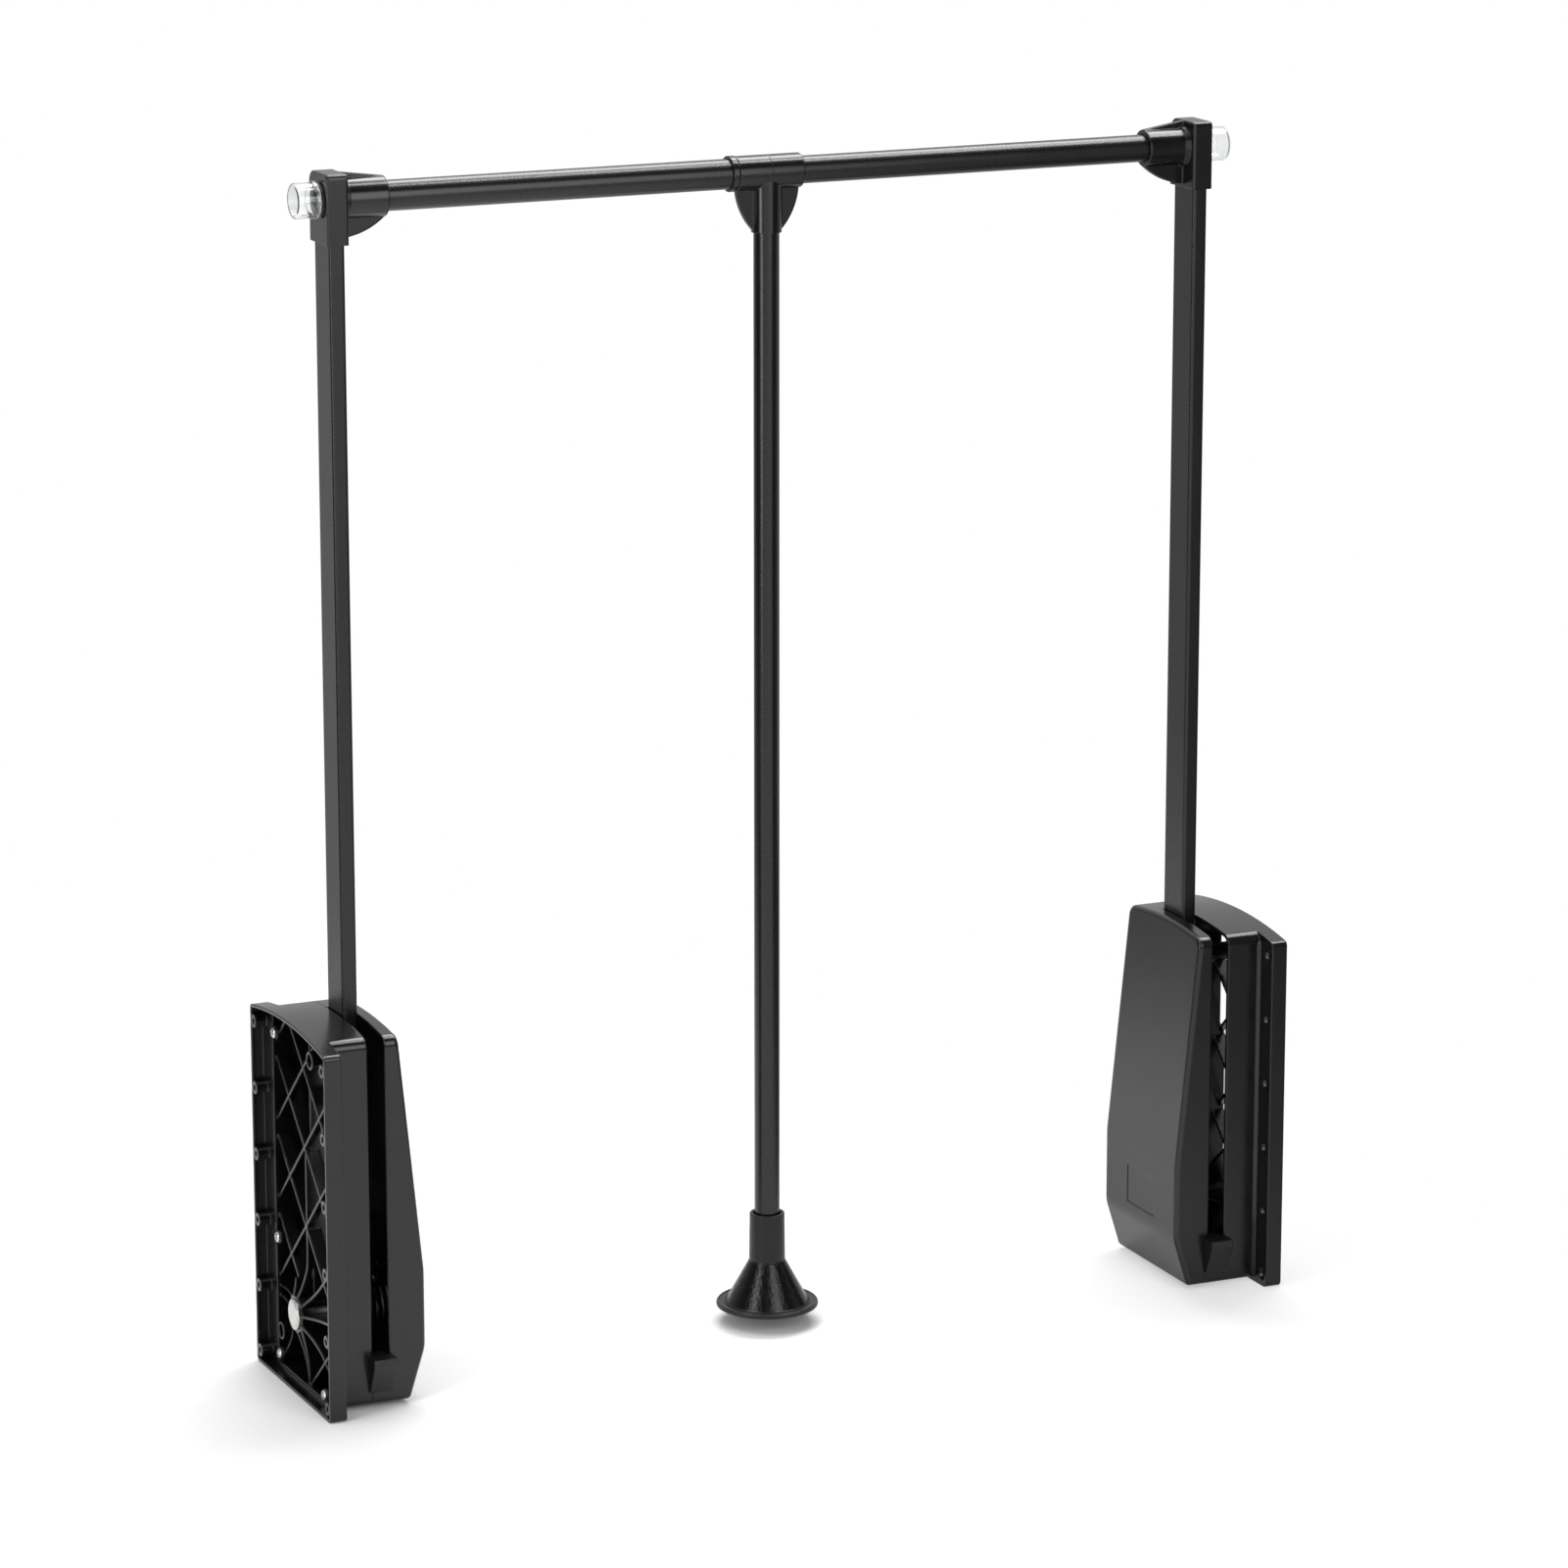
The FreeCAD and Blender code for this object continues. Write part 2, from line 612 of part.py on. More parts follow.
def petals():
    """Petal ribs, cut to a trumpet that sweeps up from the lattice edge to the pivot boss."""
    ribs = []
    for index, (start, end) in enumerate(PETALS):
        ribs.append(rib(f"petal_rib_{index}", start, end, "hub_depth", "base_depth"))
    trumpet = turned("petal_trumpet", "XY_Plane", "H_Axis", [
        ("hub_depth", "0"),
        ("base_depth", "0"),
        ("base_depth", "column_top"),
        ("rib_recess", "column_top"),
        ("rib_recess", "flare_reach", "flare_round", -1),
        ("hub_depth", "boss_radius"),
    ])
    place(trumpet, at_depth("0"), *PIVOT)
    return common("petals", [fuse("petal_ribs", ribs), trumpet])


def lattice():
    """Crossing ribs under the tray, petals round the pivot boss and a wall that guides the arm."""
    ribs = [petals()]
    for step in rib_steps("lattice_rise"):
        height = f"lattice_rise + {step} * lattice_pitch"
        start = ("-body_half", f"{height} - lattice_slope * body_half") if step else BEND
        end = ("body_half", f"{height} + lattice_slope * body_half")
        ribs.append(rib(f"rising_rib_{step}", start, end, "rib_recess", "rib_recess + rise_depth"))
    for step in rib_steps("lattice_fall"):
        height = f"lattice_fall + {step} * lattice_pitch"
        start = ("-body_half", f"{height} + lattice_slope * body_half")
        end = ("body_half", f"{height} - lattice_slope * body_half")
        ribs.append(rib(f"falling_rib_{step}", start, end, "rib_recess", "rib_recess + fall_depth"))
    top = ("column_place", "flange_height + arch_rise")
    ribs.append(rib("guide_wall", COLUMN_FOOT, top, "guide_recess", "base_depth"))
    field = body_block("rib_field", "case_wall / 2", "hub_depth", "base_depth")
    return common("lattice", [fuse("lattice_ribs", ribs), field])


def housing_base():
    """Wall-side half: flange tray, body walls, lattice, bosses and holes."""
    flange_block = arched("flange_block", "flange_depth / 2", "0", "0", "0", "flange_thick")
    flange = rounded("flange", flange_block, corner_rules("flange_corner", "flange_corner"))
    tray = arched("flange_tray", "flange_depth / 2", "0", "flange_rim", f"-{PAST}", "tray_depth")
    body = body_block("base_body", "0", "tray_depth", "base_depth")
    hollow = body_block("base_hollow", "case_wall", f"-{PAST}", f"base_depth + {PAST}")
    shell = cut("base_shell", fuse("base_outside", [cut("flange_shell", flange, tray), body]), hollow)

    pieces = [shell, lattice()]
    holes = []
    for index, (y, z) in enumerate(hole_places()):
        pieces.append(rod(f"wall_boss_{index}", ALONG_X, (at_depth("0"), y, z), "hole_boss", "flange_thick"))
        start = (at_depth(f"-{PAST}"), y, z)
        holes.append(rod(f"wall_hole_{index}", ALONG_X, start, "hole_radius", f"flange_thick + 2 * {PAST}"))
        start = (at_depth("flange_thick - hole_sink"), y, z)
        sink = f"hole_sink + {PAST}"
        holes.append(cone(f"wall_sink_{index}", ALONG_X, start, "hole_radius", f"hole_radius + {sink}", sink))
    start = (at_depth("hub_depth"), *PIVOT)
    pieces.append(rod("pivot_boss", ALONG_X, start, "boss_radius", "base_depth - hub_depth"))
    start = (at_depth("0"), *PIVOT)
    holes.append(rod("pivot_bore", ALONG_X, start, "axle_radius + fixed_fit", f"base_depth + {PAST}"))
    for index, (y, z) in enumerate(SPARE_BOSSES):
        start = (at_depth("tray_depth"), y, z)
        pieces.append(rod(f"spare_boss_{index}", ALONG_X, start, "spare_boss", "base_depth - tray_depth"))
        start = (at_depth("0"), y, z)
        holes.append(rod(f"spare_hole_{index}", ALONG_X, start, "spare_bore", f"base_depth + {PAST}"))
    for index, (y, z) in enumerate(CASE_SCREWS):
        start = (at_depth("case_screw_seat"), y, z)
        length = "base_depth - case_screw_seat"
        pieces.append(rod(f"base_boss_{index}", ALONG_X, start, "case_screw_boss", length))
        start = (at_depth("0"), y, z)
        through = f"base_depth + {PAST}"
        holes.append(rod(f"base_screw_hole_{index}", ALONG_X, start, "case_screw + fixed_fit", through))
        room = "case_screw_head + head_room"
        holes.append(rod(f"base_screw_room_{index}", ALONG_X, start, room, "case_screw_seat"))
    return cut("left_base", fuse("base_whole", pieces), fuse("base_holes", holes))


def cover_side(name, inset, near):
    """The cover as seen from the front: narrow at the top, wide round the pivot."""
    top, bottom = f"flange_height + arch_rise + {WELL_PAST}", f"-{WELL_PAST}"
    face = f"cover_depth - ({inset})"
    foot_side = at_depth(f"{face} - foot_bend * sin(foot_angle)")
    taper_side = at_depth(f"{face} - taper_bend * sin(taper_angle)")
    corners = [
        (at_depth(near), bottom),
        (at_depth(f"{face} - (cover_low - ({bottom})) * tan(foot_angle)"), bottom),
        (foot_side, "cover_low - foot_bend * cos(foot_angle)", "cover_bend", 1),
        (at_depth(face), "cover_low + foot_bend"),
        (at_depth(face), "cover_high - taper_bend", "cover_bend", 1),
        (taper_side, "cover_high + taper_bend * cos(taper_angle)"),
        (at_depth(f"{face} - ({top} - cover_high) * tan(taper_angle)"), top),
        (at_depth(near), top),
    ]
    length = f"2 * body_half + 2 * {PAST}"
    return prism(name, FRONT_VIEW, corners, ("0", f"-body_half - {PAST}", "0"), V(0, 1, 0), length)


def cover_rim(edge):
    """True for the edges that go round the cover's inner face."""
    on_seam = abs(middle(edge).x - number("wall_face + base_depth")) < 0.1
    return not (on_seam or runs_along(edge, 0) or runs_along(edge, 1))


def housing_cover():
    """Inner half: a tapered shell with the arm slot, bosses and a spring peg."""
    block = body_block("cover_block", "0", "base_depth", f"cover_depth + {PAST}")
    sharp = common("cover_sharp", [block, cover_side("cover_side", "0", "base_depth")])
    outside = rounded("cover_outside", sharp, [(cover_rim, "cover_edge")])
    open_side = f"base_depth - {PAST}"
    inner_block = body_block("cover_inner_block", "case_wall", open_side, f"cover_depth + {PAST}")
    inner_side = cover_side("cover_inner_side", "case_wall", open_side)
    hollow = common("cover_hollow", [inner_block, inner_side])
    shell = cut("cover_shell", outside, hollow)

    pieces = [shell]
    for index, (y, z) in enumerate(CASE_SCREWS):
        start = (at_depth("base_depth"), y, z)
        pieces.append(rod(f"cover_boss_{index}", ALONG_X, start, "case_screw_boss", "cover_thick"))
    root = "cover_depth - case_wall / 2"
    socket = (at_depth("socket_start"), *PIVOT)
    pieces.append(rod("cover_socket", ALONG_X, socket, "socket_boss", f"{root} - socket_start"))
    peg_back = "pivot_back + coil_radius - wire_radius - peg_radius"
    peg = (at_depth("socket_end"), peg_back, "pivot_height + peg_height")
    pieces.append(rod("cover_peg", ALONG_X, peg, "peg_radius", f"{root} - socket_end"))
    whole = common("cover_whole", [fuse("cover_pieces", pieces), outside])

    near, far = at_depth(open_side), at_depth("base_depth + slot_width")
    front, top = f"-body_half - {WELL_PAST}", f"flange_height + arch_rise + {WELL_PAST}"
    holes = [
        box("front_slot", (near, front, "slot_bottom"), (far, f"-body_half + case_wall + {PAST}", top)),
        box("top_slot", (near, front, "body_top - body_round"), (far, "arm_back + slot_play", top)),
        box("label_field", (at_depth("cover_depth - label_recess"), "-label_front", "label_low"),
            (at_depth(f"cover_depth + {PAST}"), "label_wide - label_front", "label_low + label_tall")),
    ]
    for index, (y, z) in enumerate(CASE_SCREWS):
        start = (at_depth("base_depth"), y, z)
        length = f"case_screw_end - base_depth + {PAST}"
        holes.append(rod(f"cover_screw_hole_{index}", ALONG_X, start, "case_screw + fixed_fit", length))
    holes.append(rod("cover_socket_hole", ALONG_X, socket, "axle_radius + fixed_fit", "socket_depth"))
    return cut("left_cover", whole, fuse("cover_holes", holes))


def stop_block():
    """Wedge at the foot of the slot; the lowered arm rests on it."""
    face = "-body_half"
    head = prism("stop_head", SIDE_VIEW, [
        (face, "slot_bottom"),
        (face, "stop_top"),
        (f"{face} - stop_reach", "stop_top"),
        (f"{face} - stop_reach", "stop_top - stop_nose"),
        (f"{face} - stop_lip", "slot_bottom"),
    ], (at_depth("arm_centre - stop_width / 2"), "0", "0"), V(1, 0, 0), "stop_width")
    half = "slot_width / 2 - tongue_play"
    tongue = box("stop_tongue_box", (at_depth(f"arm_centre - ({half})"), face, "slot_bottom"),
                 (at_depth(f"arm_centre + {half}"), f"{face} + stop_tongue", "stop_top"))
    return fuse("left_stop_block", [head, tongue])


def pivot_axle():
    """Headed axle with a groove for the clip."""
    head = "axle_head_thick"
    clip = "clip_place - axle_head_depth"
    end = "socket_end - axle_end_play - axle_head_depth"
    core = "axle_radius - groove_depth"
    axle = turned("left_pivot_axle", "XY_Plane", "H_Axis", [
        ("0", "0"),
        (end, "0"),
        (end, "axle_radius"),
        (f"{clip} + clip_thick", "axle_radius"),
        (f"{clip} + clip_thick", core),
        (clip, core),
        (clip, "axle_radius"),
        (head, "axle_radius"),
        (head, "axle_head"),
        ("0", "axle_head"),
    ])
    return place(axle, at_depth("axle_head_depth"), *PIVOT)


def axle_pieces():
    """Clip, thrust washers and pivot bush."""
    start = (at_depth("clip_place"), *PIVOT)
    bore = "axle_radius - groove_depth + fixed_fit"
    clip = tube("left_axle_clip", ALONG_X, start, "clip_radius", bore, "clip_thick")
    washers = []
    bore = "axle_radius + fixed_fit"
    for index, depth in enumerate(("base_depth", "foot_far + side_play")):
        start = (at_depth(depth), *PIVOT)
        washers.append(tube(f"thrust_washer_{index}", ALONG_X, start, "washer_radius", bore, "washer_thick"))
    start = (at_depth("foot_near"), *PIVOT)
    bush = tube("left_pivot_bush", ALONG_X, start, "bush_radius", "axle_radius + running_fit", "arm_thick")
    return clip, group("left_thrust_washers", washers), bush


def smooth_arcs(start, start_way, end, end_way):
    """Two arcs that join two points and keep both directions."""
    reach = end - start
    ways = start_way + end_way
    bend = 2 * (start_way.dot(end_way) - 1)
    lead = -2 * reach.dot(ways)
    step = (-lead - math.sqrt(lead**2 - 4 * bend * reach.dot(reach))) / (2 * bend)
    first = start + start_way * step
    second = end - end_way * step
    join = (first + second) / 2
    arcs = []
    for low, corner, high in ((start, first, join), (join, second, end)):
        chord = (low + high) / 2
        half = (high - low).Length / 2
        out = corner - chord
        rise = half * math.tan(math.atan2(out.Length, half) / 2)
        out.normalize()
        arcs.append(Part.Arc(low, chord + out * rise, high).toShape())
    return arcs


def torsion_spring():
    """Coil round the axle; one leg pushes on the arm foot's peg, the other on the cover's."""
    radius, pitch, turns = number("coil_radius"), number("coil_pitch"), number("coil_turns")
    leg, wire = number("leg_length"), number("wire_radius")
    quarter = math.pi / 2
    climb = pitch / (2 * math.pi)

    def point(angle):
        return V(climb * angle, -radius * math.cos(angle), -radius * math.sin(angle))

    def way(angle):
        direction = V(climb, radius * math.sin(angle), -radius * math.cos(angle))
        return direction.normalize()

    edges = [Part.makeLine(point(0) - way(0) * leg, point(0))]
    for step in range(round(4 * turns)):
        low, high = step * quarter, (step + 1) * quarter
        edges += smooth_arcs(point(low), way(low), point(high), way(high))
    last = round(4 * turns) * quarter
    edges.append(Part.makeLine(point(last), point(last) + way(last) * leg))
    path = Part.Wire(edges)
    section = Part.Wire([Part.makeCircle(wire, point(0) - way(0) * leg, way(0))])
    spring = doc.addObject("Part::Feature", "left_torsion_spring")
    spring.Shape = path.makePipeShell([section], True, False)
    return place(spring, at_depth("coil_start"), *PIVOT)


def case_screws():
    """Cross-head screws that hold the two halves together."""
    screws = []
    face = "case_screw_seat - case_screw_cap"
    near, far = at_depth(f"{face} - {PAST}"), at_depth(f"{face} + cross_depth")
    for index, (y, z) in enumerate(CASE_SCREWS):
        start = (at_depth(face), y, z)
        head = rod(f"screw_head_{index}", ALONG_X, start, "case_screw_head", "case_screw_cap")
        start = (at_depth("case_screw_seat"), y, z)
        shank = rod(f"screw_shank_{index}", ALONG_X, start, "case_screw", "case_screw_end - case_screw_seat")
        cross = []
        arms = (("flat", "cross_reach", "cross_half"), ("upright", "cross_half", "cross_reach"))
        for name, half_y, half_z in arms:
            low = (near, f"{y} - {half_y}", f"{z} - {half_z}")
            high = (far, f"{y} + {half_y}", f"{z} + {half_z}")
            cross.append(box(f"{name}_slot_{index}", low, high))
        whole = fuse(f"screw_whole_{index}", [head, shank])
        screws.append(cut(f"case_screw_{index}", whole, fuse(f"screw_cross_{index}", cross)))
    return group("left_case_screws", screws)


RIVETS = ["rivet_low", "rivet_low + rivet_step"]


def rounded_box_corners(half_x, half_y, radius):
    """Corners of a rectangle with round corners."""
    return [
        (f"-({half_x}) + {radius}", f"-({half_y})"),
        (f"({half_x}) - {radius}", f"-({half_y})", radius, 1),
        (half_x, f"-({half_y}) + {radius}"),
        (half_x, f"({half_y}) - {radius}", radius, 1),
        (f"({half_x}) - {radius}", half_y),
        (f"-({half_x}) + {radius}", half_y, radius, 1),
        (f"-({half_x})", f"({half_y}) - {radius}"),
        (f"-({half_x})", f"-({half_y}) + {radius}", radius, 1),
    ]


def arm_tube():
    """Flat rectangular tube, upright at rest."""
    body = new_body("left_arm_tube")
    sketch = sketch_on(body, "XY_Plane")
    outline(sketch, rounded_box_corners("arm_thick / 2", "arm_depth / 2", "arm_corner"))
    inner = "(arm_corner - arm_wall)"
    outline(sketch, rounded_box_corners("arm_thick / 2 - arm_wall", "arm_depth / 2 - arm_wall", inner))
    pad(body, sketch, "tube_end - tube_start")
    return place(body, "arm_place", "pivot_back", "tube_start")


def rivet_holes(name):
    """Holes through tube and foot for the rivets."""
    holes = []
    for index, z in enumerate(RIVETS):
        start = (at_depth("base_depth"), "pivot_back", z)
        holes.append(rod(f"{name}_{index}", ALONG_X, start, "rivet_radius", "slot_width"))
    return holes


def arm_foot():
    """Eye on the pivot, a spigot inside the arm tube and the peg for the spring."""
    eye = rod("foot_eye", ALONG_X, (at_depth("foot_near"), *PIVOT), "foot_radius", "arm_thick")
    low = (at_depth("foot_near"), "arm_front", "pivot_height")
    high = (at_depth("foot_far"), "arm_back", "tube_start")
    neck = box("foot_neck", low, high)
    slim = "(arm_wall + fixed_fit)"
    low = (at_depth(f"foot_near + {slim}"), f"arm_front + {slim}", f"tube_start - {PAST}")
    high = (at_depth(f"foot_far - {slim}"), f"arm_back - {slim}", "tube_start + spigot_length")
    sharp = box("foot_sharp_spigot", low, high)
    spigot = rounded("foot_spigot", sharp, [(lambda edge: runs_along(edge, 2), "arm_corner - arm_wall")])
    peg_front = "pivot_back - coil_radius + wire_radius + peg_radius"
    start = (at_depth(f"foot_far - {PAST}"), peg_front, "pivot_height + peg_height")
    peg = rod("foot_peg", ALONG_X, start, "peg_radius", f"coil_start + wire_radius + 2 * {PAST} - foot_far")
    bore = rod("foot_bore", ALONG_X, (at_depth("base_depth"), *PIVOT), "bush_radius", "slot_width")
    holes = [bore, *rivet_holes("foot_rivet_hole")]
    return cut("left_arm_foot", fuse("foot_whole", [eye, neck, spigot, peg]), fuse("foot_holes", holes))


def drilled_arm_tube():
    """The arm tube with its rivet holes."""
    plain = arm_tube()
    plain.Label = "left_arm_tube_plain"
    drilled = cut("left_arm_drilled", plain, fuse("arm_rivet_holes", rivet_holes("arm_rivet_hole")))
    drilled.Label = "left_arm_tube"
    return drilled


def foot_rivets():
    """Flush rivets through arm tube and foot."""
    rivets = []
    for index, z in enumerate(RIVETS):
        start = (at_depth("foot_near"), "pivot_back", z)
        rivets.append(rod(f"foot_rivet_{index}", ALONG_X, start, "rivet_radius", "arm_thick"))
    return group("left_foot_rivets", rivets)


RAIL_AXIS = ("pivot_back", "rail_height")


def web(name, corners):
    """A flat web in the middle plane of the rail."""
    start = ("0", "pivot_back - web_thick / 2", "0")
    return prism(name, FRONT_VIEW, corners, start, V(0, 1, 0), "web_thick")


def connector_block(name):
    """The block on top of the arm tube, its upper corners and side edges rounded."""
    low = ("head_outer", "pivot_back - head_depth / 2", "rail_height - head_below")
    high = ("head_inner", "pivot_back + head_depth / 2", "rail_height + head_above")
    block = box(name + "_block", low, high)
    axis_depth, axis_height = (number(text) for text in RAIL_AXIS)
    faces = [number("head_outer"), number("head_inner")]
    foot = number("rail_height - head_below")

    def upper_corner(edge):
        return runs_along(edge, 0) and middle(edge).z > axis_height

    def front_corner(edge):
        return upper_corner(edge) and middle(edge).y < axis_depth

    def block_rim(edge):
        on_face = any(abs(middle(edge).x - face) < 0.01 for face in faces)
        return on_face and middle(edge).z > foot + 0.01

    rules = [(front_corner, "head_front_round"), (upper_corner, "head_round")]
    arched_block = rounded(name + "_arched", block, rules)
    return rounded(name + "_soft", arched_block, [(block_rim, "head_edge")])


def rail_connector(name, rail_size):
    """Block on the arm tube with a round socket for a rail tube of the given radius."""
    tip = "head_inner + socket_length"
    outside = f"{rail_size} + socket_wall"
    inside = f"head_inner - {PAST}"
    foot, crest = "rail_height - head_below + gusset_lift", "rail_height + head_above - fin_drop"
    start = ("arm_place", *RAIL_AXIS)
    socket = rod(name + "_socket", ALONG_X, start, outside, "head_thick / 2 + socket_length")
    step = f"{outside} + collar_step"
    collar = rod(name + "_collar", ALONG_X, start, step, "head_thick / 2 + collar_length")
    start = ("head_outer - cap_seat_thick", *RAIL_AXIS)
    seat = rod(name + "_seat", ALONG_X, start, "cap_seat_radius", f"cap_seat_thick + {PAST}")
    gusset = web(name + "_gusset", [
        (inside, "rail_height"),
        (inside, foot),
        ("head_inner", foot, "gusset_round", 1),
        (tip, f"rail_height - ({outside})"),
        (tip, "rail_height"),
    ])
    fin = web(name + "_fin", [
        (inside, "rail_height"),
        (tip, "rail_height"),
        (tip, f"rail_height + {outside}"),
        ("head_inner", crest),
        (inside, crest),
    ])
    whole = fuse(name + "_whole", [connector_block(name), socket, collar, seat, gusset, fin])
    low = (at_depth("foot_near - fixed_fit"), "arm_front - fixed_fit", f"rail_height - head_below - {PAST}")
    high = (at_depth("foot_far + fixed_fit"), "arm_back + fixed_fit", "tube_end")
    pocket = box(name + "_pocket", low, high)
    start = ("rail_end", *RAIL_AXIS)
    bore = rod(name + "_bore", ALONG_X, start, f"{rail_size} + fixed_fit", f"{tip} - rail_end + {PAST}")
    start = (f"head_outer - cap_seat_thick - {PAST}", *RAIL_AXIS)
    length = f"rail_end - head_outer + cap_seat_thick + 2 * {PAST}"
    plug = rod(name + "_plug", ALONG_X, start, "cap_spigot + fixed_fit", length)
    start = ("connector_grub", *RAIL_AXIS)
    grub = rod(name + "_grub", ALONG_Y, start, "grub_radius", f"{outside} + {PAST}")
    return cut(name, whole, fuse(name + "_holes", [pocket, bore, plug, grub]))


def connector_screw(name, rail_size):
    """Clamping screw at the back of a rail socket, against the rail."""
    start = ("connector_grub", f"pivot_back + {rail_size}", "rail_height")
    return rod(name, ALONG_Y, start, "grub_radius", "socket_wall")


def bumper_cap():
    """Clear cup on the outside of a connector, held by a spigot."""
    stem = "cap_spigot - cap_wall"
    floor = "cap_length - cap_wall"
    cap = turned("left_bumper_cap", "XY_Plane", "H_Axis", [
        ("cap_spigot_length", stem),
        ("cap_spigot_length", "cap_spigot"),
        (f"-({floor})", "cap_spigot"),
        (f"-({floor})", "cap_radius - cap_wall"),
        ("0", "cap_radius - cap_wall"),
        ("0", "cap_radius"),
        ("-cap_length + cap_round", "cap_radius", "cap_round", 1),
        ("-cap_length", "cap_radius - cap_round"),
        ("-cap_length", "0"),
        (f"-({floor})", "0"),
        (f"-({floor})", stem),
    ])
    return place(cap, "head_outer - cap_seat_thick", *RAIL_AXIS)


def rail_tubes():
    """Outer tube on the left connector, inner tube on the right one, stop ring beside the tee."""
    start, length = ("rail_end", *RAIL_AXIS), "rail_middle - rail_end"
    outer = tube("rail_outer_tube", ALONG_X, start, "rail_radius", "rail_bore", length)
    start, length = ("rail_middle - rail_overlap", *RAIL_AXIS), "-rail_end - rail_middle + rail_overlap"
    inner = tube("rail_inner_tube", ALONG_X, start, "rail_inner_radius", "rail_inner_bore", length)
    start = ("-handle_shift - tee_half - tee_play - ring_length", *RAIL_AXIS)
    stop = tube("rail_stop_ring", ALONG_X, start, "ring_radius", "rail_radius", "ring_length")
    return outer, inner, stop


def handle_tee():
    """Sleeve that turns on the rail, with a stub for the pull rod."""
    left = "-handle_shift - tee_half"
    sleeve = rod("tee_sleeve", ALONG_X, (left, *RAIL_AXIS), "tee_radius", "2 * tee_half")
    soft = rounded("tee_soft_sleeve", sleeve, [(lambda edge: spans(edge)[0] < 0.01, "tee_edge")])
    bottom = "rail_height - tee_drop"
    stub = rod("tee_stub", ALONG_Z, ("-handle_shift", "pivot_back", bottom), "stub_radius", "tee_drop")
    low, edge = f"{bottom} + tee_web_lift", "rail_height - tee_web_edge"
    gusset = web("tee_gusset", [
        ("-handle_shift - tee_web_half", "rail_height"),
        ("-handle_shift - tee_web_half", edge, "tee_web_round", 1),
        ("-handle_shift - stub_radius + tee_web_sink", low),
        ("-handle_shift + stub_radius - tee_web_sink", low, "tee_web_round", 1),
        ("-handle_shift + tee_web_half", edge),
        ("-handle_shift + tee_web_half", "rail_height"),
    ])
    start = (f"{left} - {PAST}", *RAIL_AXIS)
    length = f"2 * tee_half - tee_lip + tee_play + {PAST}"
    wide = rod("tee_bore", ALONG_X, start, "rail_radius + tee_play", length)
    slim = rod("tee_lip_bore", ALONG_X, start, "rail_inner_radius + tee_play", f"2 * tee_half + 2 * {PAST}")
    start = ("-handle_shift", "pivot_back", f"{bottom} - {PAST}")
    seat = rod("tee_seat", ALONG_Z, start, "rod_radius + fixed_fit", f"tee_drop - rod_seat + {PAST}")
    start = ("-handle_shift", "pivot_back", "tee_grub_place")
    grub = rod("tee_grub_hole", ALONG_Y, start, "grub_radius", f"stub_radius + {PAST}")
    whole = fuse("tee_whole", [soft, stub, gusset])
    return cut("handle_tee", whole, fuse("tee_holes", [wide, slim, seat, grub]))


def handle_screws():
    """Clamping screws of the tee and the grip, at the back."""
    screws = []
    for name, z, outside in (
        ("tee", "tee_grub_place", "stub_radius"),
        ("grip", "grip_grub_place", "neck_top_radius"),
    ):
        start = ("-handle_shift", "pivot_back + rod_radius", z)
        screws.append(rod(name + "_grub", ALONG_Y, start, "grub_radius", f"{outside} - rod_radius"))
    return group("handle_screws", screws)


def handle_grip():
    """Bell grip: sleeve on the rod, cone and flat rim, open underneath."""
    cone_high = "rim_thick + cone_rise"
    top = "grip_top - grip_lift"
    bore, mouth = "rod_radius + fixed_fit", "rod_radius + grip_mouth"
    bell = turned("grip_bell", "XZ_Plane", "V_Axis", [
        ("cone_radius - grip_wall", "0"),
        ("rim_radius - rim_edge", "0", "rim_edge", 1),
        ("rim_radius", "rim_edge"),
        ("rim_radius", "rim_thick - grip_edge", "grip_edge", 1),
        ("rim_radius - grip_edge", "rim_thick"),
        ("cone_radius", "rim_thick"),
        ("neck_radius + neck_blend", f"{cone_high} - neck_blend_low", "neck_fillet", -1),
        ("neck_radius", f"{cone_high} + neck_blend_high"),
        ("neck_top_radius", f"{top} - grip_edge", "grip_edge", 1),
        ("neck_top_radius - grip_edge", top),
        (mouth, top),
        (mouth, f"{top} - grip_mouth_depth"),
        (bore, f"{top} - grip_mouth_depth"),
        (bore, "grip_ceiling"),
        ("hollow_top", "grip_ceiling"),
    ])
    place(bell, "-handle_shift", "pivot_back", "grip_lift")
    start = ("-handle_shift", "pivot_back", "grip_grub_place")
    grub = rod("grip_grub_hole", ALONG_Y, start, "grub_radius", f"neck_radius + {PAST}")
    return cut("handle_grip", bell, grub)


def handle_rod():
    start = ("-handle_shift", "pivot_back", "grip_lift + grip_ceiling")
    length = "rail_height - rod_seat - grip_lift - grip_ceiling"
    return tube("handle_rod", ALONG_Z, start, "rod_radius", "rod_radius - rod_wall", length)


def build():
    """Make every sub-part; the right-hand ones mirror the left-hand ones."""
    left = [housing_base(), housing_cover(), stop_block(), pivot_axle(), *axle_pieces(), torsion_spring()]
    left += [case_screws(), drilled_arm_tube(), arm_foot(), foot_rivets(), bumper_cap()]
    sub_parts = list(left)
    for piece in left:
        sub_parts.append(mirrored(piece, piece.Label.replace("left_", "right_")))
    sub_parts.append(rail_connector("left_rail_connector", "rail_radius"))
    sub_parts.append(connector_screw("left_connector_screw", "rail_radius"))
    for kind, maker in (("rail_connector", rail_connector), ("connector_screw", connector_screw)):
        pattern = maker("inner_" + kind, "rail_inner_radius")
        sub_parts.append(mirrored(pattern, "right_" + kind))
    sub_parts += [*rail_tubes(), handle_tee(), handle_screws(), handle_grip(), handle_rod()]
    return sub_parts


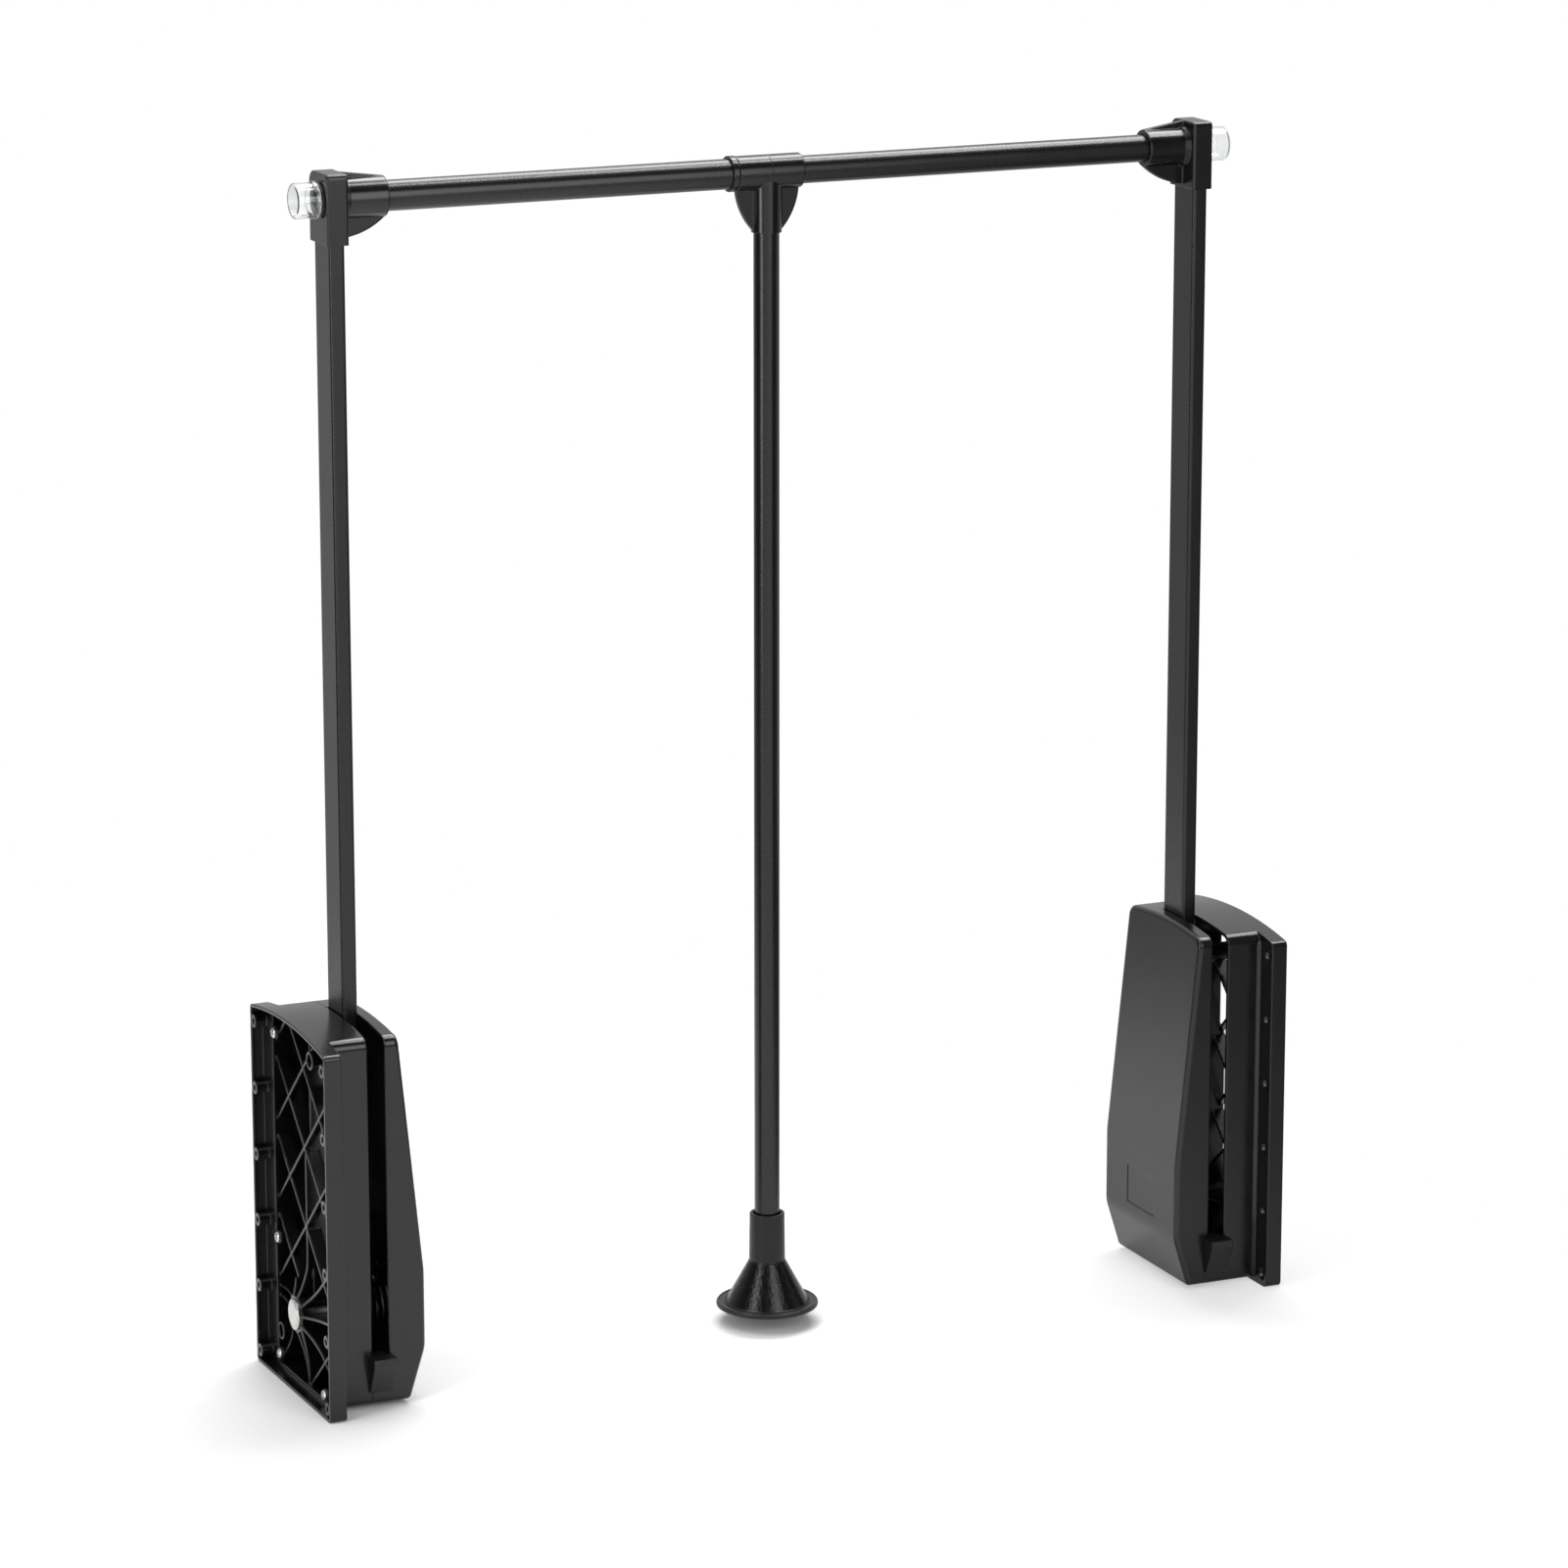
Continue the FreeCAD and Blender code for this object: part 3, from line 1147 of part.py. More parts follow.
def write(sub_parts):
    """Check every object of the document, then write one file for each sub-part."""
    doc.recompute()
    for item in doc.Objects:
        if "Invalid" in item.State or "Error" in item.State:
            raise RuntimeError(f"{item.Label} did not build: {item.State}")
    os.makedirs("parts", exist_ok=True)
    for piece in sub_parts:
        if piece.Shape.isNull() or not piece.Shape.isValid() or not piece.Shape.Solids:
            raise RuntimeError(f"{piece.Label} is not a valid solid")
        piece.Shape.exportStep(f"parts/{piece.Label}.step")
        print(f"{piece.Label}: {len(piece.Shape.Solids)} solid, {piece.Shape.Volume:.0f} cubic mm")


write(build())
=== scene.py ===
"""Looks of the pull-down wardrobe rail: finishes, small turned pieces, studio and camera."""

import logging
import math
from dataclasses import dataclass
from enum import Enum
from functools import reduce

import bmesh
import bpy
import numpy as np
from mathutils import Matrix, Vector


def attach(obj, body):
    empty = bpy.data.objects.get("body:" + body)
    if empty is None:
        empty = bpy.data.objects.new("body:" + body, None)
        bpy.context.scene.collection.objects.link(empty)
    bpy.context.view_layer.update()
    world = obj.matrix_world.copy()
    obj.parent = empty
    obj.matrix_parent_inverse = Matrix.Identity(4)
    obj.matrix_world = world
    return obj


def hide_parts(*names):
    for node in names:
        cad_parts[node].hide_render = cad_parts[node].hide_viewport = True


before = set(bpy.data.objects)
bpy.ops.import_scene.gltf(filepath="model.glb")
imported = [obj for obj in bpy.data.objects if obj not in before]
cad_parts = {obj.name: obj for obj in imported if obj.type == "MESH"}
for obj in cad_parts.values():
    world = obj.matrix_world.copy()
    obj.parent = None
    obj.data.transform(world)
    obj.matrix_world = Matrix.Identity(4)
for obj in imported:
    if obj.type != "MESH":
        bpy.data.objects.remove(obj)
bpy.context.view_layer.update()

LOG = logging.getLogger("wardrobe_rail")
MM = 0.001
FULL_TURN = 2 * np.pi
IMAGE_PIXELS = 1601
SHARP_EDGE = math.radians(38)
MERGE_DISTANCE = 0.0005 * MM
EDGE_SAMPLES = 6
WHITE = (1.0, 1.0, 1.0, 1.0)

# Places that several pieces share, in millimetres
RAIL_BACK = 8.0
HANDLE_ACROSS = -5.0
GRIP_RIM_TOP = 15.0
MOULD_SEAM = 330.5

Colour = tuple[float, float, float]
Point = tuple[float, float, float]
Span = tuple[float, float]
Run = tuple[Span, Span, int]
Grid = np.ndarray


class Side(Enum):
    """The two mirrored sides; the value is the sign of X."""

    LEFT = -1
    RIGHT = 1

    @property
    def word(self) -> str:
        """The node names' first word."""
        return self.name.lower()


class Axis(Enum):
    """An axis of the object's frame; the value is its place in a point."""

    X = 0
    Y = 1
    Z = 2


# Shader maths


class Value:
    """A shader output that takes part in Python sums."""

    def __init__(self, graph: "Graph", socket: bpy.types.NodeSocket) -> None:
        """Keep the socket and the graph that it belongs to."""
        self.graph = graph
        self.socket = socket

    def _math(self, operation: str, first: "Value | float", second: "Value | float") -> "Value":
        """One Math node on two values."""
        return self.graph.node("ShaderNodeMath", {"operation": operation}, {0: first, 1: second})

    def __add__(self, other: "Value | float") -> "Value":
        """Sum."""
        return self._math("ADD", self, other)

    def __radd__(self, other: float) -> "Value":
        """Sum with a number first."""
        return self._math("ADD", other, self)

    def __sub__(self, other: "Value | float") -> "Value":
        """Difference."""
        return self._math("SUBTRACT", self, other)

    def __rsub__(self, other: float) -> "Value":
        """Difference with a number first."""
        return self._math("SUBTRACT", other, self)

    def __mul__(self, other: "Value | float") -> "Value":
        """Product."""
        return self._math("MULTIPLY", self, other)

    def __rmul__(self, other: float) -> "Value":
        """Product with a number first."""
        return self._math("MULTIPLY", other, self)

    def __pow__(self, other: "Value | float") -> "Value":
        """Power."""
        return self._math("POWER", self, other)

    def __neg__(self) -> "Value":
        """The value with its sign turned."""
        return 0.0 - self

    def __abs__(self) -> "Value":
        """Size without sign."""
        return self._math("ABSOLUTE", self, 0.0)

    def most(self, other: "Value | float") -> "Value":
        """The larger of two values."""
        return self._math("MAXIMUM", self, other)

    def swing(self, size: float) -> "Value":
        """A value from 0 to 1 made to swing about zero, over a range of the given size."""
        return size * (self - 0.5)

    def step(self, low: float, high: float) -> "Value":
        """A smooth step from 0 at low to 1 at high."""
        inputs = {"Value": self, "From Min": low, "From Max": high}
        return self.graph.node("ShaderNodeMapRange", {"interpolation_type": "SMOOTHSTEP"}, inputs)

    def sibling(self, output: int | str) -> "Value":
        """Another output of the same node."""
        return Value(self.graph, self.socket.node.outputs[output])


class Graph:
    """The node tree of one material or world."""

    def __init__(self, tree: bpy.types.NodeTree) -> None:
        """Start from an empty tree."""
        self.tree = tree
        tree.nodes.clear()

    def node(
        self,
        kind: str,
        settings: dict | None = None,
        inputs: dict | None = None,
        output: int | str = 0,
    ) -> Value:
        """Add a node.

        Args:
            kind: the node's type name.
            settings: its properties, set first.
            inputs: values or links of its sockets by name or number.
            output: the output that is returned.

        Returns:
            The chosen output as a value.
        """
        made = self.tree.nodes.new(kind)
        for name, setting in (settings or {}).items():
            setattr(made, name, setting)
        for key, given in (inputs or {}).items():
            if isinstance(given, Value):
                self.tree.links.new(given.socket, made.inputs[key])
            else:
                made.inputs[key].default_value = given
        return Value(self, made.outputs[output])

    def place(self) -> Value:
        """Object coordinates, in metres."""
        return self.node("ShaderNodeTexCoord", output="Object")

    def parts(self) -> tuple[Value, Value, Value]:
        """X, Y and Z of the object coordinates."""
        x = self.node("ShaderNodeSeparateXYZ", inputs={0: self.place()})
        return x, x.sibling("Y"), x.sibling("Z")

    def noise(self, size: float, detail: float = 2.0, squeeze: Point = (1.0, 1.0, 1.0)) -> Value:
        """Even noise from 0 to 1.

        Args:
            size: the width of its features, in metres.
            detail: octaves.
            squeeze: scale along each axis, for streaks.

        Returns:
            The noise's value.
        """
        where = self.node("ShaderNodeMapping", inputs={"Vector": self.place(), "Scale": squeeze})
        inputs = {"Vector": where, "Scale": 1.0 / size, "Detail": detail}
        return self.node("ShaderNodeTexNoise", inputs=inputs)

    def mix(self, share: Value, low: Colour, high: Colour) -> Value:
        """A colour between two, by a share from 0 to 1; a Mix node's sockets 6 and 7 hold them."""
        inputs = {0: share, 6: (*low, 1.0), 7: (*high, 1.0)}
        return self.node("ShaderNodeMix", {"data_type": "RGBA"}, inputs, output=2)

    def soft_edges(self, radius: float) -> Value:
        """The normal with edges rounded by a radius."""
        return self.node("ShaderNodeBevel", {"samples": EDGE_SAMPLES}, {"Radius": radius})

    def bump(self, height: Value, depth: float, normal: Value) -> Value:
        """A normal with a height from 0 to 1 pressed in, depth in metres."""
        inputs = {"Height": height, "Distance": depth, "Strength": 1.0, "Normal": normal}
        return self.node("ShaderNodeBump", inputs=inputs)

    def principled(self, inputs: dict) -> Value:
        """The standard surface shader."""
        return self.node("ShaderNodeBsdfPrincipled", inputs=inputs)

    def blend(self, share: Value, first: Value, second: Value) -> Value:
        """One shader that turns into another by a share from 0 to 1."""
        return self.node("ShaderNodeMixShader", inputs={0: share, 1: first, 2: second})

    def close(self, shader: Value, kind: str = "ShaderNodeOutputMaterial") -> None:
        """Send a shader to the output."""
        end = self.tree.nodes.new(kind)
        self.tree.links.new(shader.socket, end.inputs["Surface"])


# Finishes


def toned(colour: Colour, share: float) -> Colour:
    """A colour made darker or lighter by a share."""
    return tuple(share * part for part in colour)


@dataclass(frozen=True)
class Finish:
    """A procedural material; each kind of surface below adds its own nodes."""

    name: str
    slot: str

    def material(self) -> bpy.types.Material:
        """Make the material, unless it is there.

        Returns:
            The material.
        """
        found = bpy.data.materials.get(self.name)
        if found:
            return found
        made = bpy.data.materials.new(self.name)
        made.use_nodes = True
        graph = Graph(made.node_tree)
        graph.close(self.surface(graph))
        return made

    def surface(self, graph: Graph) -> Value:
        """The surface shader."""
        raise NotImplementedError


@dataclass(frozen=True)
class MouldedPlastic(Finish):
    """Satin black plastic: spark-eroded grain, faint flow clouds, soft edges, parting lines."""

    dark: Colour = (0.0022, 0.0022, 0.0023)
    pale: Colour = (0.0048, 0.0048, 0.0050)
    ior: float = 1.5
    gloss: float = 0.36
    gloss_swing: float = 0.10
    cloud: float = 35 * MM
    streak: float = 9 * MM
    streak_squeeze: Point = (1.0, 1.0, 0.25)
    grain: float = 0.35 * MM
    grain_depth: float = 0.012 * MM
    grain_swing: float = 0.08
    edge: float = 1.0 * MM
    partings: tuple[tuple[Axis, float], ...] = ()
    parting_width: float = 0.4 * MM
    parting_depth: float = 0.12 * MM

    def surface(self, graph: Graph) -> Value:
        """Clouded black, grain in the bump, ridges where the mould halves met.

        Args:
            graph: the material's nodes.

        Returns:
            The surface shader.
        """
        clouds = graph.noise(self.cloud, detail=3.0)
        streaks = graph.noise(self.streak, squeeze=self.streak_squeeze)
        grain = graph.noise(self.grain)
        normal = graph.bump(grain, self.grain_depth, graph.soft_edges(self.edge))
        if self.partings:
            normal = graph.bump(self.ridges(graph), self.parting_depth, normal)
        rough = self.gloss + clouds.swing(self.gloss_swing) + grain.swing(self.grain_swing)
        return graph.principled({
            "Base Color": graph.mix(streaks, self.dark, self.pale),
            "Roughness": rough,
            "IOR": self.ior,
            "Normal": normal,
        })

    def ridges(self, graph: Graph) -> Value:
        """The ridges of the parting lines.

        Args:
            graph: the material's nodes.

        Returns:
            1 along the lines, 0 beside them.
        """
        places = graph.parts()
        lines = [
            1.0 - abs(places[axis.value] - where).step(0.0, self.parting_width)
            for axis, where in self.partings
        ]
        return reduce(Value.most, lines)


@dataclass(frozen=True)
class GripPlastic(Finish):
    """The bell grip: a smooth matt sleeve and a cone with coarse sparkling grain."""

    tone: Colour = (0.0032, 0.0032, 0.0033)
    tone_range: Span = (0.8, 1.25)
    ior: float = 1.42
    gloss: float = 0.40
    cone_gain: float = 0.20
    gloss_swing: float = 0.06
    cloud: float = 20 * MM
    coarse: float = 2.2 * MM
    fine: float = 0.28 * MM
    fine_share: float = 0.06
    grain_depth: float = 0.36 * MM
    edge: float = 0.5 * MM
    rim_top: float = GRIP_RIM_TOP * MM
    rim_fade: float = 1 * MM
    sleeve_foot: float = 45 * MM
    sleeve_fade: float = 1.5 * MM

    def surface(self, graph: Graph) -> Value:
        """Grain deepens and gloss rises between the rim and the sleeve's foot.

        Args:
            graph: the material's nodes.

        Returns:
            The surface shader.
        """
        height = graph.parts()[Axis.Z.value]
        above = height.step(self.rim_top, self.rim_top + self.rim_fade)
        sleeve = height.step(self.sleeve_foot, self.sleeve_foot + self.sleeve_fade)
        cone = above * (1.0 - sleeve)
        clouds = graph.noise(self.cloud)
        coarse = graph.noise(self.coarse, detail=2.5)
        grain = coarse * cone + self.fine_share * graph.noise(self.fine)
        low, high = self.tone_range
        return graph.principled({
            "Base Color": graph.mix(clouds, toned(self.tone, low), toned(self.tone, high)),
            "Roughness": self.gloss - self.cone_gain * cone + clouds.swing(self.gloss_swing),
            "IOR": self.ior,
            "Normal": graph.bump(grain, self.grain_depth, graph.soft_edges(self.edge)),
        })


@dataclass(frozen=True)
class CoatedSteel(Finish):
    """Powder-coated tube: fine orange peel, even satin gloss, tiny pale specks."""

    tone: Colour = (0.0022, 0.0022, 0.0023)
    pale_share: float = 1.9
    ior: float = 1.5
    gloss: float = 0.27
    gloss_swing: float = 0.10
    cloud: float = 60 * MM
    cloud_share: float = 0.85
    speck: float = 0.3 * MM
    speck_peak: Span = (0.74, 0.80)
    speck_share: float = 0.15
    peel: float = 2.4 * MM
    peel_depth: float = 0.004 * MM
    fine: float = 0.6 * MM
    fine_share: float = 0.12
    fine_swing: float = 0.06
    edge: float = 1.2 * MM

    def surface(self, graph: Graph) -> Value:
        """Peel and a finer grain in the bump; specks where a fine noise peaks.

        Args:
            graph: the material's nodes.

        Returns:
            The surface shader.
        """
        peel = graph.noise(self.peel, detail=1.0)
        fine = graph.noise(self.fine, detail=1.0)
        clouds = graph.noise(self.cloud)
        specks = graph.noise(self.speck, detail=0.0).step(*self.speck_peak)
        pale = self.cloud_share * clouds + self.speck_share * specks
        relief = peel + self.fine_share * fine
        return graph.principled({
            "Base Color": graph.mix(pale, self.tone, toned(self.tone, self.pale_share)),
            "Roughness": self.gloss + clouds.swing(self.gloss_swing) + fine.swing(self.fine_swing),
            "IOR": self.ior,
            "Normal": graph.bump(relief, self.peel_depth, graph.soft_edges(self.edge)),
        })


@dataclass(frozen=True)
class BareMetal(Finish):
    """Plated or plain metal with turning marks and clouded gloss."""

    tone: Colour = (0.62, 0.62, 0.60)
    tarnish: float = 0.78
    gloss: float = 0.28
    gloss_swing: float = 0.14
    cloud: float = 4 * MM
    turned: Axis = Axis.X
    mark: float = 0.12 * MM
    mark_squeeze: float = 0.15
    mark_depth: float = 0.006 * MM
    mark_swing: float = 0.06
    edge: float = 0.25 * MM

    def surface(self, graph: Graph) -> Value:
        """Marks run round the turning axis, tarnish lies in soft clouds.

        Args:
            graph: the material's nodes.

        Returns:
            The surface shader.
        """
        squeeze = tuple(1.0 if axis is self.turned else self.mark_squeeze for axis in Axis)
        marks = graph.noise(self.mark, squeeze=squeeze)
        clouds = graph.noise(self.cloud, detail=3.0)
        return graph.principled({
            "Base Color": graph.mix(clouds, toned(self.tone, self.tarnish), self.tone),
            "Roughness": self.gloss + clouds.swing(self.gloss_swing) + marks.swing(self.mark_swing),
            "Metallic": 1.0,
            "Normal": graph.bump(marks, self.mark_depth, graph.soft_edges(self.edge)),
        })


@dataclass(frozen=True)
class CastMetal(Finish):
    """Dark die-casting with a dull grainy skin."""

    tone: Colour = (0.035, 0.035, 0.037)
    tone_range: Span = (0.6, 1.3)
    metal: float = 0.6
    gloss: float = 0.46
    gloss_swing: float = 0.2
    cloud: float = 12 * MM
    skin: float = 0.8 * MM
    skin_depth: float = 0.05 * MM
    edge: float = 0.5 * MM

    def surface(self, graph: Graph) -> Value:
        """A coarse skin in bump and gloss, clouds in the colour.

        Args:
            graph: the material's nodes.

        Returns:
            The surface shader.
        """
        skin = graph.noise(self.skin, detail=4.0)
        clouds = graph.noise(self.cloud, detail=3.0)
        low, high = self.tone_range
        return graph.principled({
            "Base Color": graph.mix(clouds, toned(self.tone, low), toned(self.tone, high)),
            "Roughness": self.gloss + skin.swing(self.gloss_swing),
            "Metallic": self.metal,
            "Normal": graph.bump(skin, self.skin_depth, graph.soft_edges(self.edge)),
        })


@dataclass(frozen=True)
class Nylon(Finish):
    """Off-white bearing plastic, waxy and a little mottled."""

    tone: Colour = (0.62, 0.60, 0.54)
    mottle_share: float = 0.86
    mottle: float = 3 * MM
    gloss: float = 0.42
    gloss_swing: float = 0.1
    grain: float = 0.3 * MM
    grain_depth: float = 0.01 * MM
    edge: float = 0.3 * MM

    def surface(self, graph: Graph) -> Value:
        """Mottled wax with a faint grain.

        Args:
            graph: the material's nodes.

        Returns:
            The surface shader.
        """
        mottle = graph.noise(self.mottle, detail=3.0)
        grain = graph.noise(self.grain)
        return graph.principled({
            "Base Color": graph.mix(mottle, toned(self.tone, self.mottle_share), self.tone),
            "Roughness": self.gloss + mottle.swing(self.gloss_swing),
            "Normal": graph.bump(grain, self.grain_depth, graph.soft_edges(self.edge)),
        })


@dataclass(frozen=True)
class ClearPlastic(Finish):
    """Water-clear plastic with faint flow lines, and a painted grey shade on the rims seen edge on.
    """

    tone: Colour = (0.97, 0.98, 0.98)
    # painted shade: the grey that the colour takes where the wall is seen edge on, in place of the
    # dark outlines that refraction gives
    rim: Colour = (0.16, 0.165, 0.17)
    rim_blend: float = 0.35
    rim_power: float = 1.9
    ior: float = 1.45
    gloss: float = 0.03
    wave: float = 8 * MM
    wave_gloss: float = 0.05
    wave_depth: float = 0.02 * MM
    edge: float = 0.3 * MM

    def surface(self, graph: Graph) -> Value:
        """Full transmission, lightly wavy, with painted shade: the colour greys where the wall is
        seen edge on.

        Args:
            graph: the material's nodes.

        Returns:
            The surface shader.
        """
        waves = graph.noise(self.wave, detail=1.0)
        # painted shade: Layer Weight's facing greys the colour towards the rims seen edge on
        inputs = {"Blend": self.rim_blend}
        facing = graph.node("ShaderNodeLayerWeight", inputs=inputs, output="Facing")
        return graph.principled({
            "Base Color": graph.mix(facing ** self.rim_power, self.tone, self.rim),
            "Roughness": self.gloss + self.wave_gloss * waves,
            "IOR": self.ior,
            "Transmission Weight": 1.0,
            "Normal": graph.bump(waves, self.wave_depth, graph.soft_edges(self.edge)),
        })


HOUSING = MouldedPlastic(
    "housing_black", "housing_plastic", gloss=0.22, grain=0.4 * MM, edge=1.6 * MM,
    partings=((Axis.X, -MOULD_SEAM * MM), (Axis.X, MOULD_SEAM * MM)), parting_depth=-0.25 * MM,
)
FITTING = MouldedPlastic(
    "fitting_black", "fitting_plastic", gloss=0.21, grain_depth=0.005 * MM, edge=2.0 * MM,
)
TEE = MouldedPlastic(
    "tee_black", "fitting_plastic", gloss=0.21, grain_depth=0.005 * MM, edge=1.2 * MM,
    partings=((Axis.X, HANDLE_ACROSS * MM),),
)
STOP = MouldedPlastic("stop_black", "fitting_plastic", gloss=0.42)
GRIP = GripPlastic("grip_black", "grip_plastic")
TUBE = CoatedSteel("tube_black", "coated_steel")
CASTING = CastMetal("foot_casting", "foot_casting")
ZINC = BareMetal("zinc_plate", "zinc_steel")
SPRING = BareMetal("spring_wire", "spring_steel", tone=(0.045, 0.044, 0.043), gloss=0.30)
NYLON = Nylon("bearing_nylon", "nylon")
CLEAR = ClearPlastic("clear_cap", "clear_plastic")

NODE_FINISHES: dict[str, Finish] = {
    "base": HOUSING,
    "cover": HOUSING,
    "stop_block": STOP,
    "axle_clip": SPRING,
    "thrust_washers": NYLON,
    "pivot_bush": NYLON,
    "arm_tube": TUBE,
    "arm_foot": CASTING,
    "foot_rivets": ZINC,
    "rail_connector": FITTING,
    "rail_outer_tube": TUBE,
    "rail_inner_tube": TUBE,
    "rail_stop_ring": TEE,
    "handle_tee": TEE,
    "handle_grip": GRIP,
    "handle_rod": TUBE,
}


# Surfaces


def grid_faces(rows: int, columns: int) -> Grid:
    """Quads of a grid of points whose last column joins the first.

    Args:
        rows: points along the first parameter.
        columns: points along the second parameter.

    Returns:
        Corner numbers, four to a face.
    """
    row, column = np.meshgrid(np.arange(rows - 1), np.arange(columns), indexing="ij")
    here, above = row * columns, (row + 1) * columns
    beside = (column + 1) % columns
    corners = [here + column, here + beside, above + beside, above + column]
    return np.stack(corners, axis=-1).reshape(-1, 4)


def close_poles(mesh: bpy.types.Mesh) -> None:
    """Merge the points that meet at poles and seams, then point every face outwards.

    Args:
        mesh: the mesh that is mended.
    """
    work = bmesh.new()
    work.from_mesh(mesh)
    bmesh.ops.remove_doubles(work, verts=work.verts, dist=MERGE_DISTANCE)
    bmesh.ops.recalc_face_normals(work, faces=work.faces)
    work.to_mesh(mesh)
    work.free()


def mesh_piece(
    name: str, grids: list[Grid], finish: Finish, body: str, replaced: str | None = None
) -> None:
    """Make one piece from grids of points that are closed along their second parameter.

    Args:
        name: the piece's name.
        grids: arrays of shape (rows, columns, 3), in metres.
        finish: its material.
        body: the CAD body that it rides on.
        replaced: the CAD node that it stands for.
    """
    faces, start = [], 0
    for grid in grids:
        rows, columns = grid.shape[:2]
        faces.append(grid_faces(rows, columns) + start)
        start += rows * columns
    vertices = np.concatenate([grid.reshape(-1, 3) for grid in grids])
    mesh = bpy.data.meshes.new(name)
    mesh.from_pydata(vertices.tolist(), [], np.concatenate(faces).tolist())
    close_poles(mesh)
    mesh.polygons.foreach_set("use_smooth", np.ones(len(mesh.polygons), bool))
    mesh.set_sharp_from_angle(angle=SHARP_EDGE)
    mesh.materials.append(finish.material())
    piece = bpy.data.objects.new(name, mesh)
    bpy.context.scene.collection.objects.link(piece)
    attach(piece, body)
    if replaced:
        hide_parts(replaced)
    LOG.info("%s: %d faces on %s", name, len(mesh.polygons), body)


def swept(path: Grid, radius: Grid, columns: int, side: Point) -> Grid:
    """A round profile along a path.

    Each ring stands square to the path: its two directions are the side direction made
    square to the tangent, and the cross product of both. The ring's radius may change
    along the path.

    Args:
        path: points of shape (rows, 3).
        radius: radius at each point.
        columns: points round the profile.
        side: a direction that the path never follows.

    Returns:
        Points of shape (rows, columns, 3).
    """
    tangent = np.gradient(path, axis=0)
    tangent /= np.linalg.norm(tangent, axis=1, keepdims=True)
    across = np.asarray(side) - (tangent @ np.asarray(side))[:, None] * tangent
    across /= np.linalg.norm(across, axis=1, keepdims=True)
    upright = np.cross(tangent, across)
    turn = np.linspace(0, FULL_TURN, columns, endpoint=False)[None, :, None]
    ring = np.cos(turn) * across[:, None] + np.sin(turn) * upright[:, None]
    return path[:, None] + radius[:, None, None] * ring


def mirrored(points: Grid) -> Grid:
    """The right-hand twin of a left-hand grid, turned so that its faces still point outwards."""
    return (points * np.array([-1.0, 1.0, 1.0]))[:, ::-1]


def eased(amount: Grid, low: float, high: float) -> Grid:
    """A smooth step: 0 at low, 1 at high, cubic between."""
    share = np.clip((amount - low) / (high - low), 0.0, 1.0)
    return share * share * (3 - 2 * share)


def joined(runs: tuple[Run, ...]) -> Grid:
    """A profile of straight runs.

    Args:
        runs: each run's two ends as (depth, radius) in millimetres, and its number of points.

    Returns:
        Rows of (depth, radius), in metres.
    """
    return np.concatenate([np.linspace(*run) for run in runs]) * MM


def on_runs(runs: tuple[Run, ...], *chosen: int) -> Grid:
    """A column that is 1 on the rows of the chosen runs of a profile and 0 on the others."""
    owner = np.repeat(np.arange(len(runs)), [count for *_, count in runs])
    return np.isin(owner, chosen)[:, None].astype(float)


@dataclass(frozen=True)
class Lathe:
    """A turned surface: a half profile carried round an axis. The start is in millimetres."""

    start: Point
    along: Point
    first: Point
    second: Point
    columns: int

    @property
    def angles(self) -> Grid:
        """The angles of the columns."""
        return np.linspace(0, FULL_TURN, self.columns, endpoint=False)

    def across(self, profile: Grid) -> tuple[Grid, Grid]:
        """The two places of each point in the plane square to the axis."""
        return profile[:, 1:] * np.cos(self.angles), profile[:, 1:] * np.sin(self.angles)

    def turn(self, profile: Grid, sunk: Grid | float = 0.0, cut: Grid | float = 0.0) -> Grid:
        """Carry a profile round the axis.

        At the angle v a point is start + along * (depth + sunk) + (radius - cut) * ring,
        where ring is cos v * first + sin v * second.

        Args:
            profile: rows of (depth, radius), in metres.
            sunk: extra depth at each point, of shape (rows, columns).
            cut: what is taken off the radius at each point, of the same shape.

        Returns:
            Points of shape (rows, columns, 3), in metres.
        """
        turn = self.angles[:, None]
        ring = np.cos(turn) * np.array(self.first) + np.sin(turn) * np.array(self.second)
        depth, radius = profile[:, :1] + sunk, profile[:, 1:] - cut
        centre = np.array(self.start) * MM + depth[..., None] * np.array(self.along)
        return centre + radius[..., None] * ring


ALONG_X = {"along": (1.0, 0.0, 0.0), "first": (0.0, 1.0, 0.0), "second": (0.0, 0.0, 1.0)}
FROM_BACK = {"along": (0.0, -1.0, 0.0), "first": (1.0, 0.0, 0.0), "second": (0.0, 0.0, 1.0)}
UPRIGHT = {"along": (0.0, 0.0, 1.0), "first": (1.0, 0.0, 0.0), "second": (0.0, 1.0, 0.0)}


# Screws


